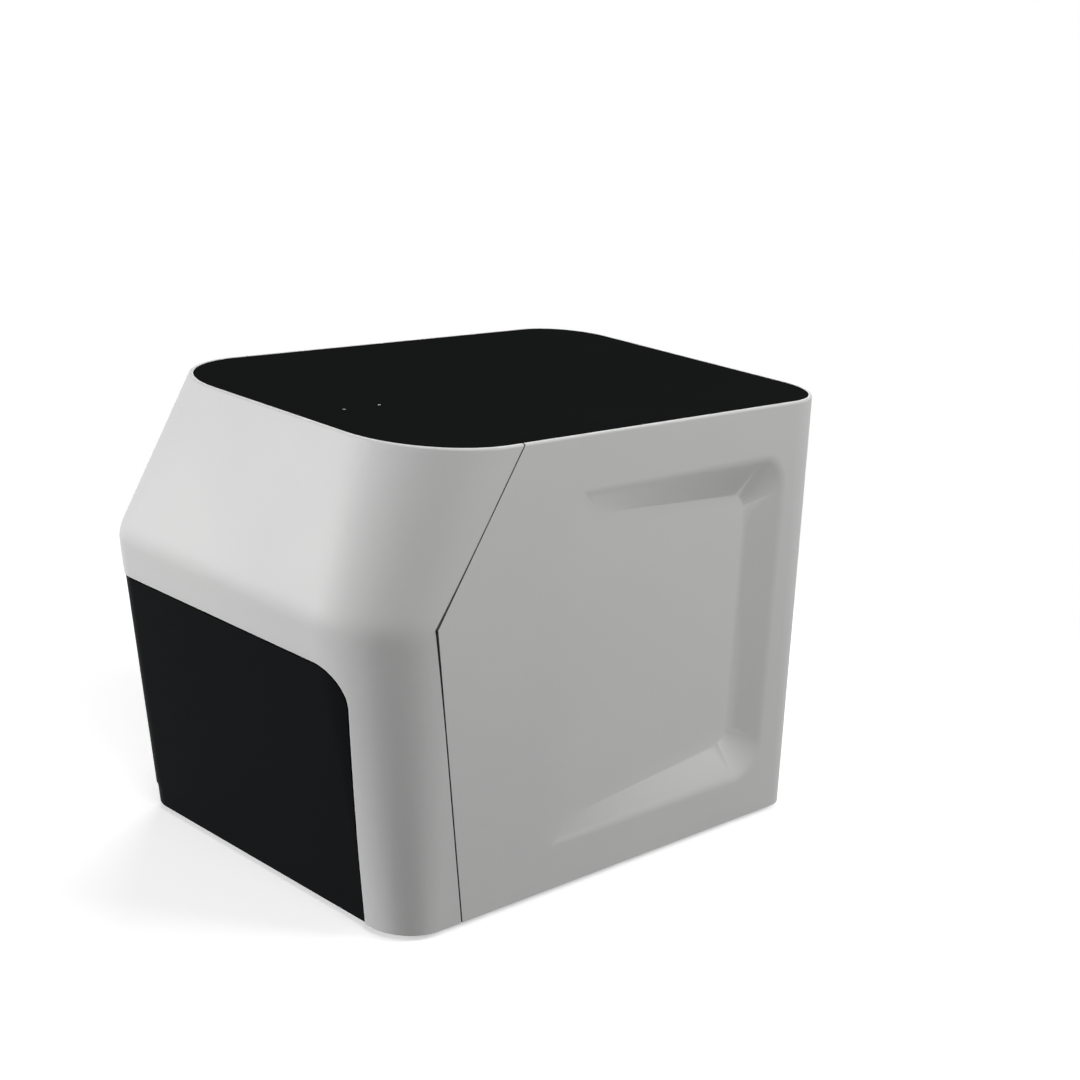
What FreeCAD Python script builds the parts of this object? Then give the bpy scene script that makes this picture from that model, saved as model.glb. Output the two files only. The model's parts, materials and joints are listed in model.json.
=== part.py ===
import FreeCAD, Part
import os
from math import atan2, cos, degrees, pi, sin, sqrt, tan

Vec = FreeCAD.Vector
os.makedirs("parts", exist_ok=True)

# Housing, in millimetres: +X to the right seen from the front, front towards -Y, +Z up.
# The origin is on the bench, under the middle of the housing.
bodyWidth = 352.0
bodyDepth = 547.5
bodyHeight = 400.0
floorGap = 6.0            # air under the housing's lower edge
chinHeight = 262.0        # the crease across the front, above the lower edge
chinBlend = 10.0          # height of the soft crease each side of its middle
lowerSetback = 49.5       # lower edge of the front, behind the crease
upperSetback = 36.5       # upper edge of the front, behind the crease
leftRadiusBottom = 31.0    # front corners of the outline
leftRadiusChin = 28.0
rightRadiusBottom = 40.0
rightRadiusChin = 78.0
frontRadiusTop = 92.0
rearRadiusBottom = 25.0
rearRadiusTop = 62.0
shellWall = 3.0
topEdgeRadius = 2.0
seamGap = 1.5
seamBottom = 65.5         # side seam behind the front, at the lower edge, crease and top
seamChin = 63.0
seamTop = 105.5
tongueReach = 8.0         # lip of the rear shell behind the seam
tongueWall = 2.0
fitGap = 0.3              # between fixed pieces that fit in each other

# Side recesses
recessFront = 204.0       # where the recess starts, behind the crease
recessRearTop = 70.0      # end of the recess, ahead of the rear face
recessRearBottom = 56.0
recessLow = 42.0          # lower and upper edge above the housing's lower edge
recessHigh = 352.0
recessDepth = 14.0
recessFrontDepth = 0.8
recessSlopeFront = 20.0   # width of the sloped walls
recessSlopeRear = 36.0
recessRadius = 32.0
recessFloorRadius = 12.0
recessRound = 0.12        # share of the slopes taken by the round of the recess's edge
recessRoundSteps = 4

# Top cover and its lights
topRim = 3.2
coverWall = 4.0
ledgeWall = 3.0
ledgeWidth = 15.3
coverGap = 0.5
coverRib = 7.0
lightRadius = 1.2
lightX = 24.0
lightFront = 88.0         # first light behind the crease
lightPitch = 37.0

# Drawer front
fasciaRight = 129.0       # right edge of the opening, from the middle
fasciaHigh = 221.5        # upper edge of the opening above the lower edge
fasciaRadius = 30.0
fasciaSink = 1.0          # how far it lies inside the housing's surface
fasciaWall = 3.0
fasciaGap = 1.5
fasciaReturn = 12.0       # depth of the rims turned inwards
fasciaBossRadius = 5.0    # screw bosses behind the drawer front
fasciaHoleRadius = 1.6
fasciaHoleDepth = 14.0
fasciaScrewInset = 8.0    # from the tray's front plate, sideways and upright
fasciaScrewRise = 10.0
fasciaLip = 20.0          # height of the stepped pull lip
fasciaStep = 1.0
openingRound = 1.2        # edge of the front shell along the drawer front
fasciaLift = 0.2          # above the housing's lower edge

# Base, frames and feet
baseWall = 2.0
sheetWall = 1.5
lipWidth = 14.0
footRadius = 16.0
footInset = 46.0          # from the housing's side to the foot's axis
footRear = 44.0
footHoleRadius = 4.0
footHoleDepth = 3.0
airSlots = 9              # in the base plate, under the block fan
airSlotPitch = 12.0
airSlotWidth = 5.0
airSlotLength = 64.0
footFront = 74.0          # behind the lower front edge
frameWall = 2.0
frameFlange = 14.0
frameClear = 6.0          # from the recess to the frame
frameRear = 30.0          # end of the frames ahead of the rear face
frameWindow = 46.0
frameWindowPitch = 75.0
frameWindowCorner = 12.0
shellBossRadius = 4.0     # feet of the shells on the frames, under the cover's ledge
shellBossInset = 12.0
bulkheadSet = 19.0        # bulkhead behind the lower front edge
bulkheadWall = 2.0
sealSection = 8.0
sealDepth = 5.2

# Sample block, set by the 96-well plate
wellPitch = 9.0
wellColumns = 12
wellRows = 8
wellRadius = 2.9
wellTipRadius = 1.4
wellDepth = 15.0
wellSides = 6
blockMargin = 6.0         # metal outside the outer wells
blockHeight = 20.0
plateSeat = 6.0           # height of the surround over the block
surroundWall = 9.0
surroundGap = 1.5
blockSet = 100.0          # middle of the block behind the lower front edge
peltierHeight = 4.0
peltierGap = 1.0
sinkBase = 10.0
finHeight = 37.0
finWall = 1.6
finCount = 15

# Drawer, slides and drive
drawerTravel = 215.0
screwRadius = 4.0
journalRadius = 3.0
screwAxis = 23.0          # above the base plate
trayLift = 36.0           # tray floor above the base plate
trayClear = 2.0           # each side of the heat sink
trayRear = 55.0
frontPlateMargin = 8.0    # beyond the seal
slideHeight = 36.0
slideWall = 1.2
slideDepth = 12.5
slideGap = 0.5
slideLift = 14.0          # lower edge of the slides above the tray floor
outerRailLength = 250.0
railMargin = 5.0          # length of the moving rails beyond the travel
nutLength = 16.0
nutWidth = 30.0
bearingLength = 12.0
motorSide = 42.0
motorLength = 40.0
motorBossRadius = 11.0
wheelShaftRadius = 2.5
runGap = 0.06             # radial, of shafts and journals in their bores

# Fans: side of the frame, thickness
blockFanSide = 92.0
rearFanSide = 80.0
fanThick = 25.0
fanRim = 2.0
fanHubRadius = 15.0
fanBlades = 7
fanTipGap = 1.5
fanStrut = 3.0            # width and height of the struts
fanShaftRadius = 1.5
fanBearingRadius = 4.0
fanHoleRadius = 2.2
fanHoleInset = 4.5
fanChord = 18.0
fanPitch = 38.0           # degrees that the blades are turned
fanBladeWall = 1.4

# Heated lid and optics
lidRest = 15.0            # lid over the surround, raised
lidTravel = 10.0
lidHeight = 10.0
lidHoleRadius = 2.5
carrierWall = 6.0
bushHeight = 14.0
bushRadius = 7.0
postRadius = 4.0
deckWall = 6.0
deckLift = 25.0           # deck over the raised lid's carrier
deckRear = 130.0
actuatorSide = 28.0
actuatorHeight = 30.0
lidShaftRadius = 2.5
lensHeight = 6.0
lensRound = 320.0
mirrorWall = 4.0
mirrorLength = 118.0
opticAxis = 60.0          # beam above the deck
splitterLength = 92.0
splitterShift = 86.0      # beam splitter behind the mirror
wheelShift = 132.0        # filter wheel behind the mirror
wheelRadius = 55.0
wheelWall = 6.0
filterRadius = 13.0
filterRing = 37.0
filterCount = 6
cameraLensRadius = 25.0
cameraLensLength = 44.0
cameraSide = 62.0
cameraLength = 54.0

# Rear panel and its fittings
windowHalf = 100.0
windowLow = 32.0          # above the housing's lower edge
windowHigh = 344.0
panelOverlap = 9.0
panelSink = 2.5
ledgeBack = 2.5
panelScrewRadius = 2.0
inletX = -62.0
inletLift = 62.0          # above the base plate
inletWidth = 27.0
inletHeight = 20.0
inletDepth = 24.0
inletWall = 2.0
socketDepth = 17.0
pinPitch = 7.0
pinWidth = 2.0
pinHeight = 4.0
switchShift = 32.0        # switch beside the inlet
switchWidth = 24.0
switchHeight = 26.0
rockerHalf = 8.0
rockerRise = 9.0
rockerTilt = 7.0
portX = 34.0
portPitch = 26.0
portLift = 60.0
portWidth = 16.0
portHeight = 13.6
cutGap = 0.2              # round the fittings in the rear panel
slotWidth = 4.4           # air slots in the rear panel
fanSlots = 9
fanSlotPitch = 8.0
ventSlots = 12
ventPitch = 9.0
ventLength = 150.0
rearFanLift = 150.0
rearFanX = 48.0
supplyWidth = 88.0
supplyHeight = 50.0
supplyLength = 150.0
boardWall = 1.6
boardLift = 8.0           # control board, off the right frame
boardLength = 140.0
boardHeight = 100.0
boardRear = 160.0         # its front edge, ahead of the frames' rear ends
boardRise = 60.0
spacerRadius = 3.0
spacerInset = 5.0

# Places that follow from the sizes
halfWidth = bodyWidth / 2
rearY = bodyDepth / 2
lowerLean = lowerSetback / chinHeight
upperLean = upperSetback / (bodyHeight - chinHeight)
creaseDrop = chinBlend * lowerLean * upperLean / (lowerLean + upperLean)
chinY = -bodyDepth / 2 - creaseDrop
bottomY = chinY + lowerSetback
topY = chinY + upperSetback
lowZ = floorGap
chinZ = lowZ + chinHeight
topZ = lowZ + bodyHeight
baseZ = lowZ + baseWall
floorZ = baseZ + baseWall
frameX = halfWidth - shellWall - recessDepth - frameClear
frameInX = frameX - frameWall
bulkheadY = bottomY + bulkheadSet
plateY = bulkheadY - sealDepth - fitGap
blockY = bottomY + blockSet
blockX = (wellColumns - 1) * wellPitch / 2 + blockMargin
blockHalfY = (wellRows - 1) * wellPitch / 2 + blockMargin
surroundX = blockX + surroundGap + surroundWall
surroundHalfY = blockHalfY + surroundGap + surroundWall
trayX = surroundX + trayClear + sheetWall
trayZ = floorZ + trayLift
fanZ = trayZ + sheetWall
sinkZ = fanZ + fanThick + fitGap + finHeight
peltierZ = sinkZ + sinkBase
blockZ = peltierZ + peltierHeight
blockTop = blockZ + blockHeight
surroundTop = blockTop + plateSeat
railX = trayX + slideWall + slideDepth
railZ = trayZ + slideLift
screwZ = floorZ + screwAxis
lidZ = surroundTop + lidRest
carrierZ = lidZ + lidHeight
deckZ = carrierZ + deckLift
deckTop = deckZ + deckWall
beamZ = deckTop + opticAxis
mirrorY = blockY
splitterY = mirrorY + splitterShift
wheelY = mirrorY + wheelShift
bushX = blockX + surroundWall + bushRadius
bushHalfY = blockHalfY + surroundWall
ledgeZ = topZ - coverWall
panelY = rearY - panelSink
railFront = bulkheadY + bulkheadWall + slideGap
railLength = drawerTravel + railMargin
frontBearingY = railFront
rearBearingY = trayRear + 8
motorY = rearBearingY + bearingLength + 4
rimTop = lowZ + fasciaHigh + fasciaGap + shellWall
bulkheadHigh = rimTop + bulkheadWall
frameTop = ledgeZ - ledgeWall - coverRib - 2
apertureX = railX + 1
apertureLow = trayZ - 3
apertureHigh = surroundTop + 3
sealX = apertureX + 3 + sealSection
sealLow = apertureLow - 3 - sealSection
sealHigh = apertureHigh + 3 + sealSection
frontPlateX = sealX + frontPlateMargin
frontPlateLow = sealLow - 3
frontPlateHigh = sealHigh + 12
deckFront = blockY - bushHalfY - 16
rearFanHigh = floorZ + rearFanLift
ventHigh = rearFanHigh + rearFanSide / 2 + 14
inletHigh = floorZ + inletLift
portHigh = floorZ + portLift
rockerY = panelY - 5.5
switchX = inletX + switchShift
boardY = rearY - frameRear - boardRear
boardZ = floorZ + boardRise
far = 2 * bodyDepth


def box(x0, x1, y0, y1, z0, z1):
    return Part.makeBox(x1 - x0, y1 - y0, z1 - z0, Vec(x0, y0, z0))


def rod(radius, length, x, y, z, axis=Vec(0, 0, 1)):
    return Part.makeCylinder(radius, length, Vec(x, y, z), axis)


def prism(points, direction):
    edge = Part.makePolygon([Vec(*p) for p in points + points[:1]])
    return Part.Face(edge).extrude(direction)


def fuse(*shapes):
    whole = shapes[0]
    if len(shapes) > 1:
        whole = whole.fuse(list(shapes[1:]))
    return whole.removeSplitter()


def mirrorX(shape):
    return shape.mirror(Vec(0, 0, 0), Vec(1, 0, 0))


def pair(shape):
    """The shape and its mirror image on the other side."""
    return Part.makeCompound([shape, mirrorX(shape)])


def save(name, shape):
    solids = shape.Solids
    if len(solids) > 1:
        shape = Part.makeCompound(solids)
    else:
        shape = solids[0]
    if not shape.isValid():
        print("not valid:", name)
    shape.exportStep("parts/" + name + ".step")
    print(name, len(solids), "solids", round(shape.Volume / 1000, 1), "cm3")


def roundedWire(points, radii):
    """Closed flat outline through the points, with a tangent arc at each corner."""
    corners = []
    count = len(points)
    for i in range(count):
        corner = points[i]
        back = (points[i - 1] - corner).normalize()
        ahead = (points[(i + 1) % count] - corner).normalize()
        half = back.getAngle(ahead) / 2
        reach = radii[i] / tan(half)
        middle = (back + ahead).normalize() * (radii[i] / sin(half) - radii[i])
        corners.append((corner + back * reach, corner + middle, corner + ahead * reach))
    edges = []
    for i in range(count):
        start, middle, end = corners[i]
        edges.append(Part.Arc(start, middle, end).toShape())
        edges.append(Part.LineSegment(end, corners[(i + 1) % count][0]).toShape())
    return Part.Wire(edges)


def roundedPlate(x0, x1, y0, y1, z0, z1, radius):
    points = [Vec(x0, y0, z0), Vec(x1, y0, z0), Vec(x1, y1, z0), Vec(x0, y1, z0)]
    return Part.Face(roundedWire(points, [radius] * 4)).extrude(Vec(0, 0, z1 - z0))


# Outer form of the housing: flat faces with conical corners and a soft crease.
def creased(atBottom, atChin, atTop, z):
    """Value at height z that runs straight to the crease and on, with a soft change at it."""
    lowerSlope = (atChin - atBottom) / chinHeight
    upperSlope = (atTop - atChin) / (bodyHeight - chinHeight)
    rise = z - chinZ
    if rise <= -chinBlend:
        return atChin + lowerSlope * rise
    if rise >= chinBlend:
        return atChin + upperSlope * rise
    turn = (upperSlope - lowerSlope) * (rise + chinBlend) ** 2 / (4 * chinBlend)
    return atChin + lowerSlope * rise + turn


def bodySection(z, inset):
    frontY = creased(bottomY, chinY, topY, z) + inset
    leftRadius = creased(leftRadiusBottom, leftRadiusChin, frontRadiusTop, z) - inset
    rightRadius = creased(rightRadiusBottom, rightRadiusChin, frontRadiusTop, z) - inset
    share = (z - lowZ) / bodyHeight
    rearRadius = rearRadiusBottom + (rearRadiusTop - rearRadiusBottom) * share - inset
    x = halfWidth - inset
    y = rearY - inset
    points = [Vec(-x, frontY, z), Vec(x, frontY, z), Vec(x, y, z), Vec(-x, y, z)]
    return roundedWire(points, [leftRadius, rightRadius, rearRadius, rearRadius])


def bodyForm(inset, z0, z1):
    blendLow = chinZ - chinBlend
    blendHigh = chinZ + chinBlend
    softHeights = [blendLow + chinBlend * step / 2 for step in range(5)]
    lower = Part.makeLoft([bodySection(z0, inset), bodySection(blendLow, inset)], True, True)
    soft = Part.makeLoft([bodySection(z, inset) for z in softHeights], True, False)
    upper = Part.makeLoft([bodySection(blendHigh, inset), bodySection(z1, inset)], True, True)
    return lower.fuse([soft, upper])


def straightForm(inset, z0, z1):
    """Form behind the seam, where the crease doesn't reach."""
    wires = []
    for z in (z0, z1):
        share = (z - lowZ) / bodyHeight
        rearRadius = rearRadiusBottom + (rearRadiusTop - rearRadiusBottom) * share - inset
        x = halfWidth - inset
        y = rearY - inset
        front = topY + seamTop - 4 * seamChin
        points = [Vec(-x, front, z), Vec(x, front, z), Vec(x, y, z), Vec(-x, y, z)]
        wires.append(roundedWire(points, [rearRadius] * 4))
    return Part.makeLoft(wires, True, True)


def seamLine(shift):
    """The side seam from under the housing to over it, as Y and Z."""
    chinSeam = chinY + seamChin
    lowSlope = (bottomY + seamBottom - chinSeam) / chinHeight
    highSlope = (topY + seamTop - chinSeam) / (bodyHeight - chinHeight)
    low = chinSeam + lowSlope * (chinHeight + far)
    high = chinSeam + highSlope * (bodyHeight - chinHeight + far)
    return [(low + shift, lowZ - far), (chinSeam + shift, chinZ), (high + shift, topZ + far)]


def aheadOfSeam(shift):
    line = [(-far, y, z) for y, z in seamLine(shift)]
    front = [(-far, -4 * far, topZ + far), (-far, -4 * far, lowZ - far)]
    return prism(line + front, Vec(2 * far, 0, 0))


def behindSeam(shift):
    line = [(-far, y, z) for y, z in seamLine(shift)]
    rear = [(-far, 4 * far, topZ + far), (-far, 4 * far, lowZ - far)]
    return prism(line + rear, Vec(2 * far, 0, 0))


def fasciaRegion(grow):
    """Outline of the drawer front seen from the front, grown by a margin, as a long prism."""
    right = fasciaRight + grow
    high = lowZ + fasciaHigh + grow
    low = lowZ + fasciaLift - grow
    points = [Vec(-far, -far, low), Vec(right, -far, low), Vec(right, -far, high), Vec(-far, -far, high)]
    outline = roundedWire(points, [0.5, 0.5, fasciaRadius + grow, 0.5])
    return Part.Face(outline).extrude(Vec(0, 2 * far, 0))


def recessOutline(share, depthShare, grow):
    """Outline of the side recess between its edge, share 0, and its sloped floor, share 1."""
    slopeFront = recessSlopeFront * share
    slopeRear = recessSlopeRear * share
    radius = recessRadius + (recessFloorRadius - recessRadius) * share + grow
    x = halfWidth - (recessFrontDepth + grow) * depthShare
    front = chinY + recessFront + slopeFront - grow
    rearTop = rearY - recessRearTop - slopeRear + grow
    rearBottom = rearY - recessRearBottom - slopeRear + grow
    low = lowZ + recessLow - grow
    high = lowZ + recessHigh + grow
    points = [
        Vec(x, front, low + slopeFront),
        Vec(x, rearBottom, low + slopeRear),
        Vec(x, rearTop, high - slopeRear),
        Vec(x, front, high - slopeFront),
    ]
    wire = roundedWire(points, [recessFloorRadius, radius, radius, recessFloorRadius])
    fall = (recessDepth - recessFrontDepth) * depthShare
    wire.rotate(points[0], Vec(0, 0, 1), degrees(atan2(fall, rearTop - front)))
    return wire


def recessCutter(grow, soft):
    """Wedge-shaped recess of the right side, deepest at the rear; soft is the rounded share of its slopes."""
    wires = [recessOutline(-soft, 0, grow)]
    wires[0].translate(Vec(shellWall, 0, 0))
    for step in range(recessRoundSteps + 1):
        turn = step / recessRoundSteps
        inward = soft * turn ** 2 - soft * (1 - turn) ** 2
        wires.append(recessOutline(inward, soft * turn ** 2, grow))
    return Part.makeLoft(wires + [recessOutline(1, 1, grow)], True, True)


# Moulded housing
def upperForm(inset, z0, z1):
    """The form above the crease only."""
    return Part.makeLoft([bodySection(z0, inset), bodySection(z1, inset)], True, True)


def coverOpenings():
    """Room for the top cover: its seat and the opening inside the ledge."""
    seat = upperForm(topRim, ledgeZ, topZ + shellWall)
    inside = upperForm(topRim + ledgeWidth, ledgeZ - 4 * ledgeWall, ledgeZ + ledgeWall / 2)
    return seat.fuse(inside)


def outerHousing():
    form = bodyForm(0, lowZ, topZ)
    rim = [edge for edge in form.Edges if edge.BoundBox.ZMin > topZ - 0.01]
    return form.makeFillet(topEdgeRadius, rim)


def frontShell(outer, openings):
    cavity = bodyForm(shellWall, lowZ - shellWall, topZ).common(
        box(-far, far, -far, far, -far, ledgeZ - ledgeWall))
    skin = outer.cut([cavity, openings]).common(aheadOfSeam(-seamGap / 2))
    opening = fasciaRegion(fasciaGap)
    rim = fasciaRegion(fasciaGap + shellWall).cut(opening)
    rim = rim.common(box(-far, far, -far, far, lowZ, far))
    deep = outer.cut(bodyForm(fasciaReturn, lowZ - shellWall, topZ + shellWall))
    rim = rim.common(deep).common(aheadOfSeam(-seamGap / 2))
    sill = box(fasciaRight + fasciaGap, far, -far, far, lowZ, baseZ).common(outer)
    sill = sill.cut(bodyForm(shellWall + lipWidth, lowZ - shellWall, topZ))
    sill = sill.common(aheadOfSeam(-seamGap / 2))
    bosses = shellBosses([topY + seamTop - coverWall - ledgeWall - shellBossRadius])
    shell = fuse(skin.cut(opening), rim, sill.cut(baseScrewHoles()), *bosses)
    return shell.makeFillet(openingRound, [openingEdge(shell)])


def openingEdge(shell):
    """Outer edge of the drawer opening's upright side; the round runs on round the opening."""
    right = fasciaRight + fasciaGap
    upright = []
    for edge in shell.Edges:
        bound = edge.BoundBox
        if max(abs(bound.XMin - right), abs(bound.XMax - right)) < 0.01 and bound.ZLength > fasciaHigh / 2:
            upright.append(edge)
    return min(upright, key=lambda edge: edge.BoundBox.YMin)


def rearShell(openings):
    outer = straightForm(0, lowZ, topZ)
    rim = [edge for edge in outer.Edges if edge.BoundBox.ZMin > topZ - 0.01]
    outer = outer.makeFillet(topEdgeRadius, rim)
    pocket = recessCutter(0, recessRound)
    bump = recessCutter(shellWall, recessRound)
    cavity = straightForm(shellWall, baseZ, ledgeZ - ledgeWall)
    cavity = cavity.cut([bump, mirrorX(bump)])
    under = straightForm(shellWall + lipWidth, lowZ - shellWall, baseZ + shellWall)
    behind = behindSeam(seamGap / 2)
    shell = outer.cut([cavity, under, openings, pocket, mirrorX(pocket)]).common(behind)
    low = lowZ + windowLow
    high = lowZ + windowHigh
    margin = panelOverlap + fitGap
    back = rearY - panelSink - sheetWall - ledgeBack
    frame = box(-windowHalf - margin - shellWall, windowHalf + margin + shellWall, back, rearY - shellWall / 2,
                low - margin - shellWall, high + margin + shellWall)
    seat = box(-windowHalf - margin, windowHalf + margin, panelY - sheetWall, far, low - margin, high + margin)
    window = box(-windowHalf, windowHalf, back - 1, far, low, high)
    bosses = [rod(panelScrewRadius + 3, 8, x, back - 8 + 1, z, Vec(0, 1, 0)) for x, z in panelScrews()]
    shell = fuse(shell, frame, *bosses)
    holes = [rod(panelScrewRadius + runGap, 20, x, back - 12, z, Vec(0, 1, 0)) for x, z in panelScrews()]
    shell = shell.cut([seat, window] + holes + baseScrewHoles())
    bosses = shellBosses([topY + seamTop + 30, 40.0, rearY - 90])
    return fuse(shell, tongue(), *bosses)


def tongue():
    """Lip of the rear shell that lies behind the front shell along the seam."""
    inside = bodyForm(shellWall + fitGap + tongueWall, lowZ - shellWall, topZ)
    lap = bodyForm(shellWall + fitGap, lowZ, ledgeZ).cut(inside)
    lap = lap.common(aheadOfSeam(seamGap)).common(behindSeam(-seamGap - tongueReach))
    root = bodyForm(shellWall / 2, lowZ, ledgeZ).cut(inside)
    root = root.common(behindSeam(seamGap / 2)).common(aheadOfSeam(seamGap + tongueWall * 2))
    drawerSide = box(-far, 0, -far, far, -far, lowZ + fasciaHigh + fasciaGap + shellWall + fitGap)
    drawerSide = drawerSide.common(aheadOfSeam(seamGap / 2))
    lip = lap.cut([drawerSide, box(-far, far, -far, far, ledgeZ - ledgeWall - fitGap, far)])
    root = root.cut(box(-far, far, -far, far, ledgeZ - ledgeWall, far))
    middle = box(-halfWidth + 4 * shellWall, halfWidth - 4 * shellWall, -far, far, -far, far)
    foot = box(-far, far, -far, far, -far, floorZ + fitGap)
    return lip.fuse(root).cut([middle, foot])


def topCover():
    plate = upperForm(topRim + coverGap, ledgeZ, topZ)
    upper = [edge for edge in plate.Edges if edge.BoundBox.ZMin > topZ - 0.01]
    plate = plate.makeFillet(topEdgeRadius / 2, upper)
    ribZ = ledgeZ - coverRib
    outerRib = topRim + ledgeWidth + coverGap
    rib = upperForm(outerRib, ribZ, ledgeZ).cut(upperForm(outerRib + shellWall, ribZ, ledgeZ))
    bosses = [rod(3.5, coverRib, x, y, ribZ) for x, y in boardScrews()]
    holes = [rod(lightRadius + runGap, 4 * coverWall, x, y, ledgeZ - coverWall) for x, y in lightPlaces()]
    return fuse(plate, rib, *bosses).cut(holes)


def lightPlaces():
    first = chinY + lightFront
    return [(lightX, first), (lightX, first + lightPitch)]


def boardScrews():
    middle = chinY + lightFront + lightPitch / 2
    return [(lightX, middle - 8), (lightX, middle + 8)]


def lightPipes():
    base = ledgeZ - coverRib
    pipes = []
    for x, y in lightPlaces():
        pipes.append(fuse(rod(lightRadius, topZ - base, x, y, base), rod(3, 3, x, y, base)))
    return Part.makeCompound(pipes)


def indicatorBoard():
    top = ledgeZ - coverRib
    first = chinY + lightFront
    board = roundedPlate(lightX - 9, lightX + 9, first - 8, first + lightPitch + 8, top - boardWall, top, 2)
    plug = box(lightX - 5, lightX + 5, first + lightPitch / 2 - 3, first + lightPitch / 2 + 3,
               top - boardWall - 6, top - boardWall)
    return fuse(board, plug)


def lowerForm(inset, z0, z1):
    """The form below the crease only."""
    return Part.makeLoft([bodySection(z0, inset), bodySection(z1, inset)], True, True)


# Drawer front
def drawerFascia():
    z0 = lowZ - shellWall
    z1 = chinZ - chinBlend
    outer = lowerForm(fasciaSink, z0, z1)
    skin = outer.cut(lowerForm(fasciaSink + fasciaWall, z0 - 1, z1 + 1)).common(fasciaRegion(0))
    rims = outer.cut(lowerForm(fasciaSink + fasciaReturn, z0 - 1, z1 + 1))
    rims = rims.common(fasciaRegion(0).cut(fasciaRegion(-fasciaWall)))
    step = outer.cut(lowerForm(fasciaSink + fasciaStep, z0 - 1, z1 + 1))
    step = step.common(box(-far, far, -far, far, -far, lowZ + fasciaLip))
    inside = lowerForm(fasciaSink + fasciaWall / 2, z0, z1)
    bosses = []
    for x, z in fasciaScrews():
        boss = rod(fasciaBossRadius, far, x, plateY - sheetWall - far, z, Vec(0, 1, 0)).common(inside)
        hole = rod(fasciaHoleRadius, fasciaHoleDepth, x, plateY - sheetWall - fasciaHoleDepth, z, Vec(0, 1, 0))
        bosses.append(boss.cut(hole))
    shell = fuse(skin.cut(step), rims.cut(step)).common(aheadOfSeam(-seamGap / 2))
    return fuse(shell, *bosses)


def fasciaScrews():
    x = frontPlateX - fasciaScrewInset
    heights = (frontPlateLow + fasciaScrewRise, frontPlateHigh - fasciaScrewRise)
    return [(sx * x, z) for sx in (-1, 1) for z in heights]


# Base and frames
def basePlate():
    plate = lowerForm(shellWall + fitGap, baseZ, floorZ)
    plate = plate.common(box(-far, far, bulkheadY - 1, far, baseZ, floorZ))
    corner = box(-far, 0, -far, bottomY + seamBottom + 3, baseZ - 1, floorZ + 1)
    corner = corner.cut(lowerForm(fasciaSink + fasciaReturn + 2, baseZ - 2, floorZ + 2))
    slots = []
    for i in range(airSlots):
        x = (i - (airSlots - 1) / 2) * airSlotPitch
        slots.append(roundedPlate(x - airSlotWidth / 2, x + airSlotWidth / 2, blockY - airSlotLength / 2,
                                  blockY + airSlotLength / 2, baseZ - 1, floorZ + 1, airSlotWidth / 2 - 0.1))
    return plate.cut([corner] + slots + baseScrewHoles())


def footPlaces():
    x = halfWidth - footInset
    return [(sx * x, y) for sx in (-1, 1) for y in (bottomY + footFront, rearY - footRear)]


def feet():
    pads = []
    for x, y in footPlaces():
        cone = Part.makeCone(footRadius - 2, footRadius, baseZ, Vec(x, y, 0))
        pads.append(cone.cut(rod(footHoleRadius, footHoleDepth, x, y, 0)))
    return Part.makeCompound(pads)


def baseScrewPlaces():
    side = halfWidth - shellWall - lipWidth / 2
    rows = [chinY + seamChin + 90, 40.0, rearY - 80]
    rearRow = rearY - shellWall - lipWidth / 2
    places = [(sx * side, y) for sx in (-1, 1) for y in rows]
    return places + [(side, bottomY + seamBottom - lipWidth), (-60.0, rearRow), (60.0, rearRow)]


def baseScrewHoles():
    return [rod(panelScrewRadius + runGap, floorZ, x, y, 0) for x, y in baseScrewPlaces()]


def baseScrews():
    screws = []
    for x, y in baseScrewPlaces():
        head = rod(panelScrewRadius * 1.8, 1.6, x, y, lowZ - 1.6)
        screws.append(fuse(head, rod(panelScrewRadius, floorZ - lowZ + 1, x, y, lowZ)))
    return Part.makeCompound(screws)


def sideFrame():
    """Folded sheet upright on the right: it carries the optics deck and the shells."""
    front = bulkheadY + bulkheadWall
    rear = rearY - frameRear
    slant = topY + frontRadiusTop
    outline = [
        (frameInX, front, floorZ), (frameInX, front, bulkheadHigh), (frameInX, slant, frameTop),
        (frameInX, rear, frameTop), (frameInX, rear, floorZ),
    ]
    web = prism(outline, Vec(frameWall, 0, 0))
    windows = [sideWindow(front + frameWindowPitch * (i + 0.7), z) for i in range(5)
               for z in (floorZ + 110, deckTop + 95) if i > 0 or z < deckZ]
    inX = frameInX - frameFlange
    foot = box(inX, frameInX, front, rear, floorZ, floorZ + frameWall)
    nose = box(inX, frameInX, front, front + frameWall, floorZ, bulkheadHigh - 6)
    shelf = box(inX, frameInX, deckFront, deckRear, deckZ - frameWall, deckZ)
    topX = halfWidth - shellBossInset + shellBossRadius + 1
    top = box(frameX, topX, slant, rear - 40, frameTop - frameWall, frameTop)
    return fuse(web.cut(windows), foot, nose, shelf, top)


def sideWindow(y, z):
    half = frameWindow / 2
    x = frameX + 1
    corners = [(y - half, z - half), (y + half, z - half), (y + half, z + half), (y - half, z + half)]
    points = [Vec(x, *corner) for corner in corners]
    return Part.Face(roundedWire(points, [frameWindowCorner] * 4)).extrude(Vec(-2 * frameWall, 0, 0))


def shellBosses(rows):
    """Feet of a shell on the top flanges of the frames."""
    x = halfWidth - shellBossInset
    length = ledgeZ - ledgeWall / 2 - frameTop
    return [rod(shellBossRadius, length, sx * x, y, frameTop) for sx in (-1, 1) for y in rows]


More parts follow.
